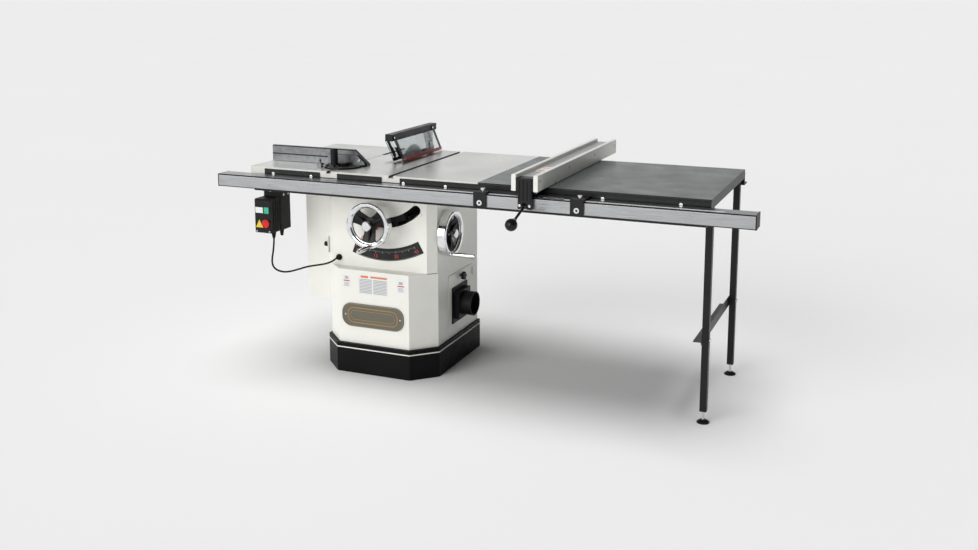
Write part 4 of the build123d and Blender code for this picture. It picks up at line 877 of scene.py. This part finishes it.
def make_guard_details():
    """Red lower edges on the shields, and rivet heads on the links and shields."""
    tall, thick = 0.014, 0.0004
    lean = tall * LINK_LEAN
    for side, name in ((-1, "left"), (1, "right")):
        low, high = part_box(name + "_shield")
        face = low.x if side < 0 else high.x
        toward = (side, 0, 0)
        front = low.y + 0.074           # the shield's lower front corner
        top = low.z + tall
        outline = [(front, low.z), (high.y, low.z), (high.y - lean, top), (front - lean, top)]
        start, stop = (face, face + thick) if side > 0 else (face - thick, face)
        stripe = Shape().prism(outline, stop - start, across(start))
        stripe.piece(name + "_shield_stripe", red_paint, name + "_guard_shield", "red_paint")
        for which in ("front", "rear"):
            low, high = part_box("%s_link_%s" % (name, which))
            upper = Shape()
            pin = (BLADE_X + side * LINK_OUTER, low.y + LINK_END, high.z - LINK_END)
            domed(upper, pin, toward, 0.0055, RIVET_HEIGHT)
            upper.piece("%s_%s_rivet" % (name, which), satin_chrome, "%s_%s_link" % (name, which), "chrome")
            lower = Shape()
            domed(lower, (face, high.y - 0.006, low.z + 0.006), toward, 0.006, 0.0026)
            lower.piece("%s_%s_shield_rivet" % (name, which), satin_chrome, name + "_guard_shield", "chrome")


def make_mitre_details():
    """Angle marks round the half-disc, screws in the fence, and a cap on the handle."""
    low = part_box("mitre_head")[0]
    pivot_x = middle("mitre_bar")[0]
    disc_radius, disc_top = 0.0765, low.z + 0.008
    ticks = Shape()
    for degree in range(206, 335, 4):
        angle = math.radians(degree)
        outward = (math.cos(angle), math.sin(angle), 0)
        reach = 0.0085 if (degree - 270) % 12 == 0 else 0.005
        radius = disc_radius - reach / 2
        centre = (pivot_x + radius * outward[0], PIVOT_Y + radius * outward[1], disc_top)
        ticks.prism(tick(0.0008, reach), INK, place(centre, UP, outward))
    ticks.piece("mitre_angle_marks", white_label, "mitre_gauge_head", "aluminium")
    screws = Shape()
    for x in (-0.065, 0.062):
        socket_screw(screws, (pivot_x + x, low.y + 0.0995, low.z + 0.026), OUT, 0.0055, 0.004)
    domed(screws, (pivot_x, PIVOT_Y, low.z + 0.018), UP, 0.009, 0.003)
    screws.piece("mitre_screws", polished_chrome, "mitre_gauge_head", "chrome")
    x, y = middle("mitre_handle")[:2]
    cap = Shape()
    domed(cap, (x, y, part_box("mitre_handle")[1].z), UP, 0.0115, 0.0018)
    cap.piece("mitre_handle_cap", gloss_black, "mitre_clamp_handle", "black_plastic")


def make_switch_details():
    """A blank plate, a yellow triangle, raised surrounds, and bolts at the front and side."""
    plate = Shape()
    field(plate, -0.4945, -0.4575, 0.6675, 0.6915, 0.0, 0.0008, SWITCH_FACE)
    plate.piece("switch_label", white_label, "frame", "cream_paint", 0.0002)
    triangle = Shape()
    spot = place((-0.4765, SWITCH_FACE, 0.6225), OUT)
    outline = [(-0.0175, -0.0165), (0.0175, -0.0165), (0.0, 0.0175)]
    triangle.prism(outline, 0.0006, spot)
    triangle.piece("switch_triangle", yellow_ink, "frame", "red_paint", 0.0002)
    surround = Shape()
    surround.band(rounded_outline(0.031, 0.035, 0.003), rounded_outline(0.0232, 0.0272, 0.0015), 0.0016,
                  place((-0.440, SWITCH_FACE, 0.680), OUT))
    outer = circle(0.0215, 30)
    inner = [(x * 0.82, y * 0.82) for x, y in outer]
    surround.band(outer, inner, 0.0022, place((-0.442, SWITCH_FACE, 0.625), OUT))
    field(surround, -0.492, -0.426, 0.7005, 0.7165, 0.0, 0.0012, SWITCH_FACE)
    surround.piece("switch_surrounds", gloss_black, "frame", "black_plastic", 0.0003)
    bolts = Shape()
    for y in (0.093, 0.127):
        socket_screw(bolts, (-0.418, FRONT + y, 0.733), RIGHT, 0.0055, 0.004)
    for x in (-0.490, -0.429):
        socket_screw(bolts, (x, SWITCH_FACE, 0.5905), OUT, 0.003, 0.0012)
    bolts.piece("switch_bolts", satin_chrome, "frame", "chrome")


def make_port_details():
    """Two beads round the duct, and the flange's four screws."""
    low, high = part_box("dust_port")
    y, z = middle("dust_port")[1:]
    duct_radius, buried, screw_offset = 0.0508, 0.0002, 0.068
    rings = Shape()
    for x, proud, width in ((high.x - 0.0035, 0.0007, 0.003), (high.x - 0.042, 0.0018, 0.004)):
        outer, inner = circle(duct_radius + proud, 45), circle(duct_radius - buried, 45)
        rings.band(outer, inner, width, place((x, y, z), RIGHT))
    rings.piece("dust_port_beads", black_plastic, "cleanout_door", "black_plastic", 0.0004)
    screws = Shape()
    for dy in (-1, 1):
        for dz in (-1, 1):
            spot = (low.x + 0.004, y + dy * screw_offset, z + dz * screw_offset)
            socket_screw(screws, spot, RIGHT, 0.0048, 0.003)
    screws.piece("dust_port_screws", dark_steel, "cleanout_door", "bright_steel")


def make_insert_screws():
    """The throat insert's levelling screws."""
    screws = Shape()
    low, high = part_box("table_insert")
    for x in (low.x + 0.011, high.x - 0.011):
        for y in (low.y + 0.05, high.y - 0.03):
            screws.turned(INSERT_SCREW, place((x, y, TABLE_TOP), UP), 12)
    screws.piece("insert_screws", dark_steel, "frame", "bright_steel")


for make in (make_plinth_trim, make_labels, make_nameplate, make_tilt_scale, make_extension_screws,
             make_fence_details, make_rail_tape, make_link_webs, make_guard_details, make_mitre_details,
             make_switch_details, make_port_details, make_insert_screws):
    make()

# ---- floor, light and world ----
FLOOR_REACH = 200.0
FLOOR_GAP = 0.0005                          # the floor lies just under the feet
WORLD_LEFT, WORLD_RIGHT, WORLD_TOP = 1.05, 0.05, 0.14           # strengths by direction

floor = bpy.data.objects.new("floor", bpy.data.meshes.new("floor"))
scene.collection.objects.link(floor)
corners = [(-FLOOR_REACH, -FLOOR_REACH, 0), (FLOOR_REACH, -FLOOR_REACH, 0),
           (FLOOR_REACH, FLOOR_REACH, 0), (-FLOOR_REACH, FLOOR_REACH, 0)]
floor.data.from_pydata(corners, [], [(0, 1, 2, 3)])
floor_finish = Shader("pale_floor", Specular_IOR_Level=0.0)
floor_tone = floor_finish.mix(floor_finish.noise(0.4), (0.93, 0.93, 0.93), (0.95, 0.95, 0.95))
floor_finish.set("Base Color", floor_tone)
floor_finish.set("Roughness", 0.9)
floor.data.materials.append(floor_finish.material)
floor.location.z = -FLOOR_GAP


def make_world():
    """A soft studio: pale at the left and the horizon, dimmer to the right and overhead."""
    world = bpy.data.worlds.new("studio")
    world.use_nodes = True
    tree = world.node_tree
    background = tree.nodes["Background"]
    background.inputs["Color"].default_value = (1, 1, 1, 1)
    direction = tree.nodes.new("ShaderNodeTexCoord")
    split = tree.nodes.new("ShaderNodeSeparateXYZ")
    tree.links.new(direction.outputs["Generated"], split.inputs[0])
    strengths = []
    for axis, *limits in (("X", -0.5, 0.9, WORLD_LEFT, WORLD_RIGHT), ("Z", 0.22, 0.5, 1.0, WORLD_TOP)):
        remap = tree.nodes.new("ShaderNodeMapRange")
        tree.links.new(split.outputs[axis], remap.inputs[0])
        for index, value in enumerate(limits):
            remap.inputs[index + 1].default_value = value
        strengths.append(remap.outputs[0])
    product = tree.nodes.new("ShaderNodeMath")
    product.operation = "MULTIPLY"
    tree.links.new(strengths[0], product.inputs[0])
    tree.links.new(strengths[1], product.inputs[1])
    tree.links.new(product.outputs[0], background.inputs["Strength"])
    return world


scene.world = make_world()
scene.view_settings.view_transform = "Standard"


def sun(name, toward, strength, angle, glossy=True):
    """A sun that shines along toward. With glossy off, it leaves no highlight."""
    light = bpy.data.objects.new(name, bpy.data.lights.new(name, "SUN"))
    light.data.energy = strength
    light.data.angle = math.radians(angle)
    light.rotation_euler = Vector(toward).to_track_quat("-Z", "Y").to_euler()
    light.visible_glossy = glossy
    scene.collection.objects.link(light)


sun("key_light", (0.42, 1.0, -0.4), 1.62, 45)
sun("overhead_fill", (0.0, 0.1, -1.0), 1.75, 40, glossy=False)
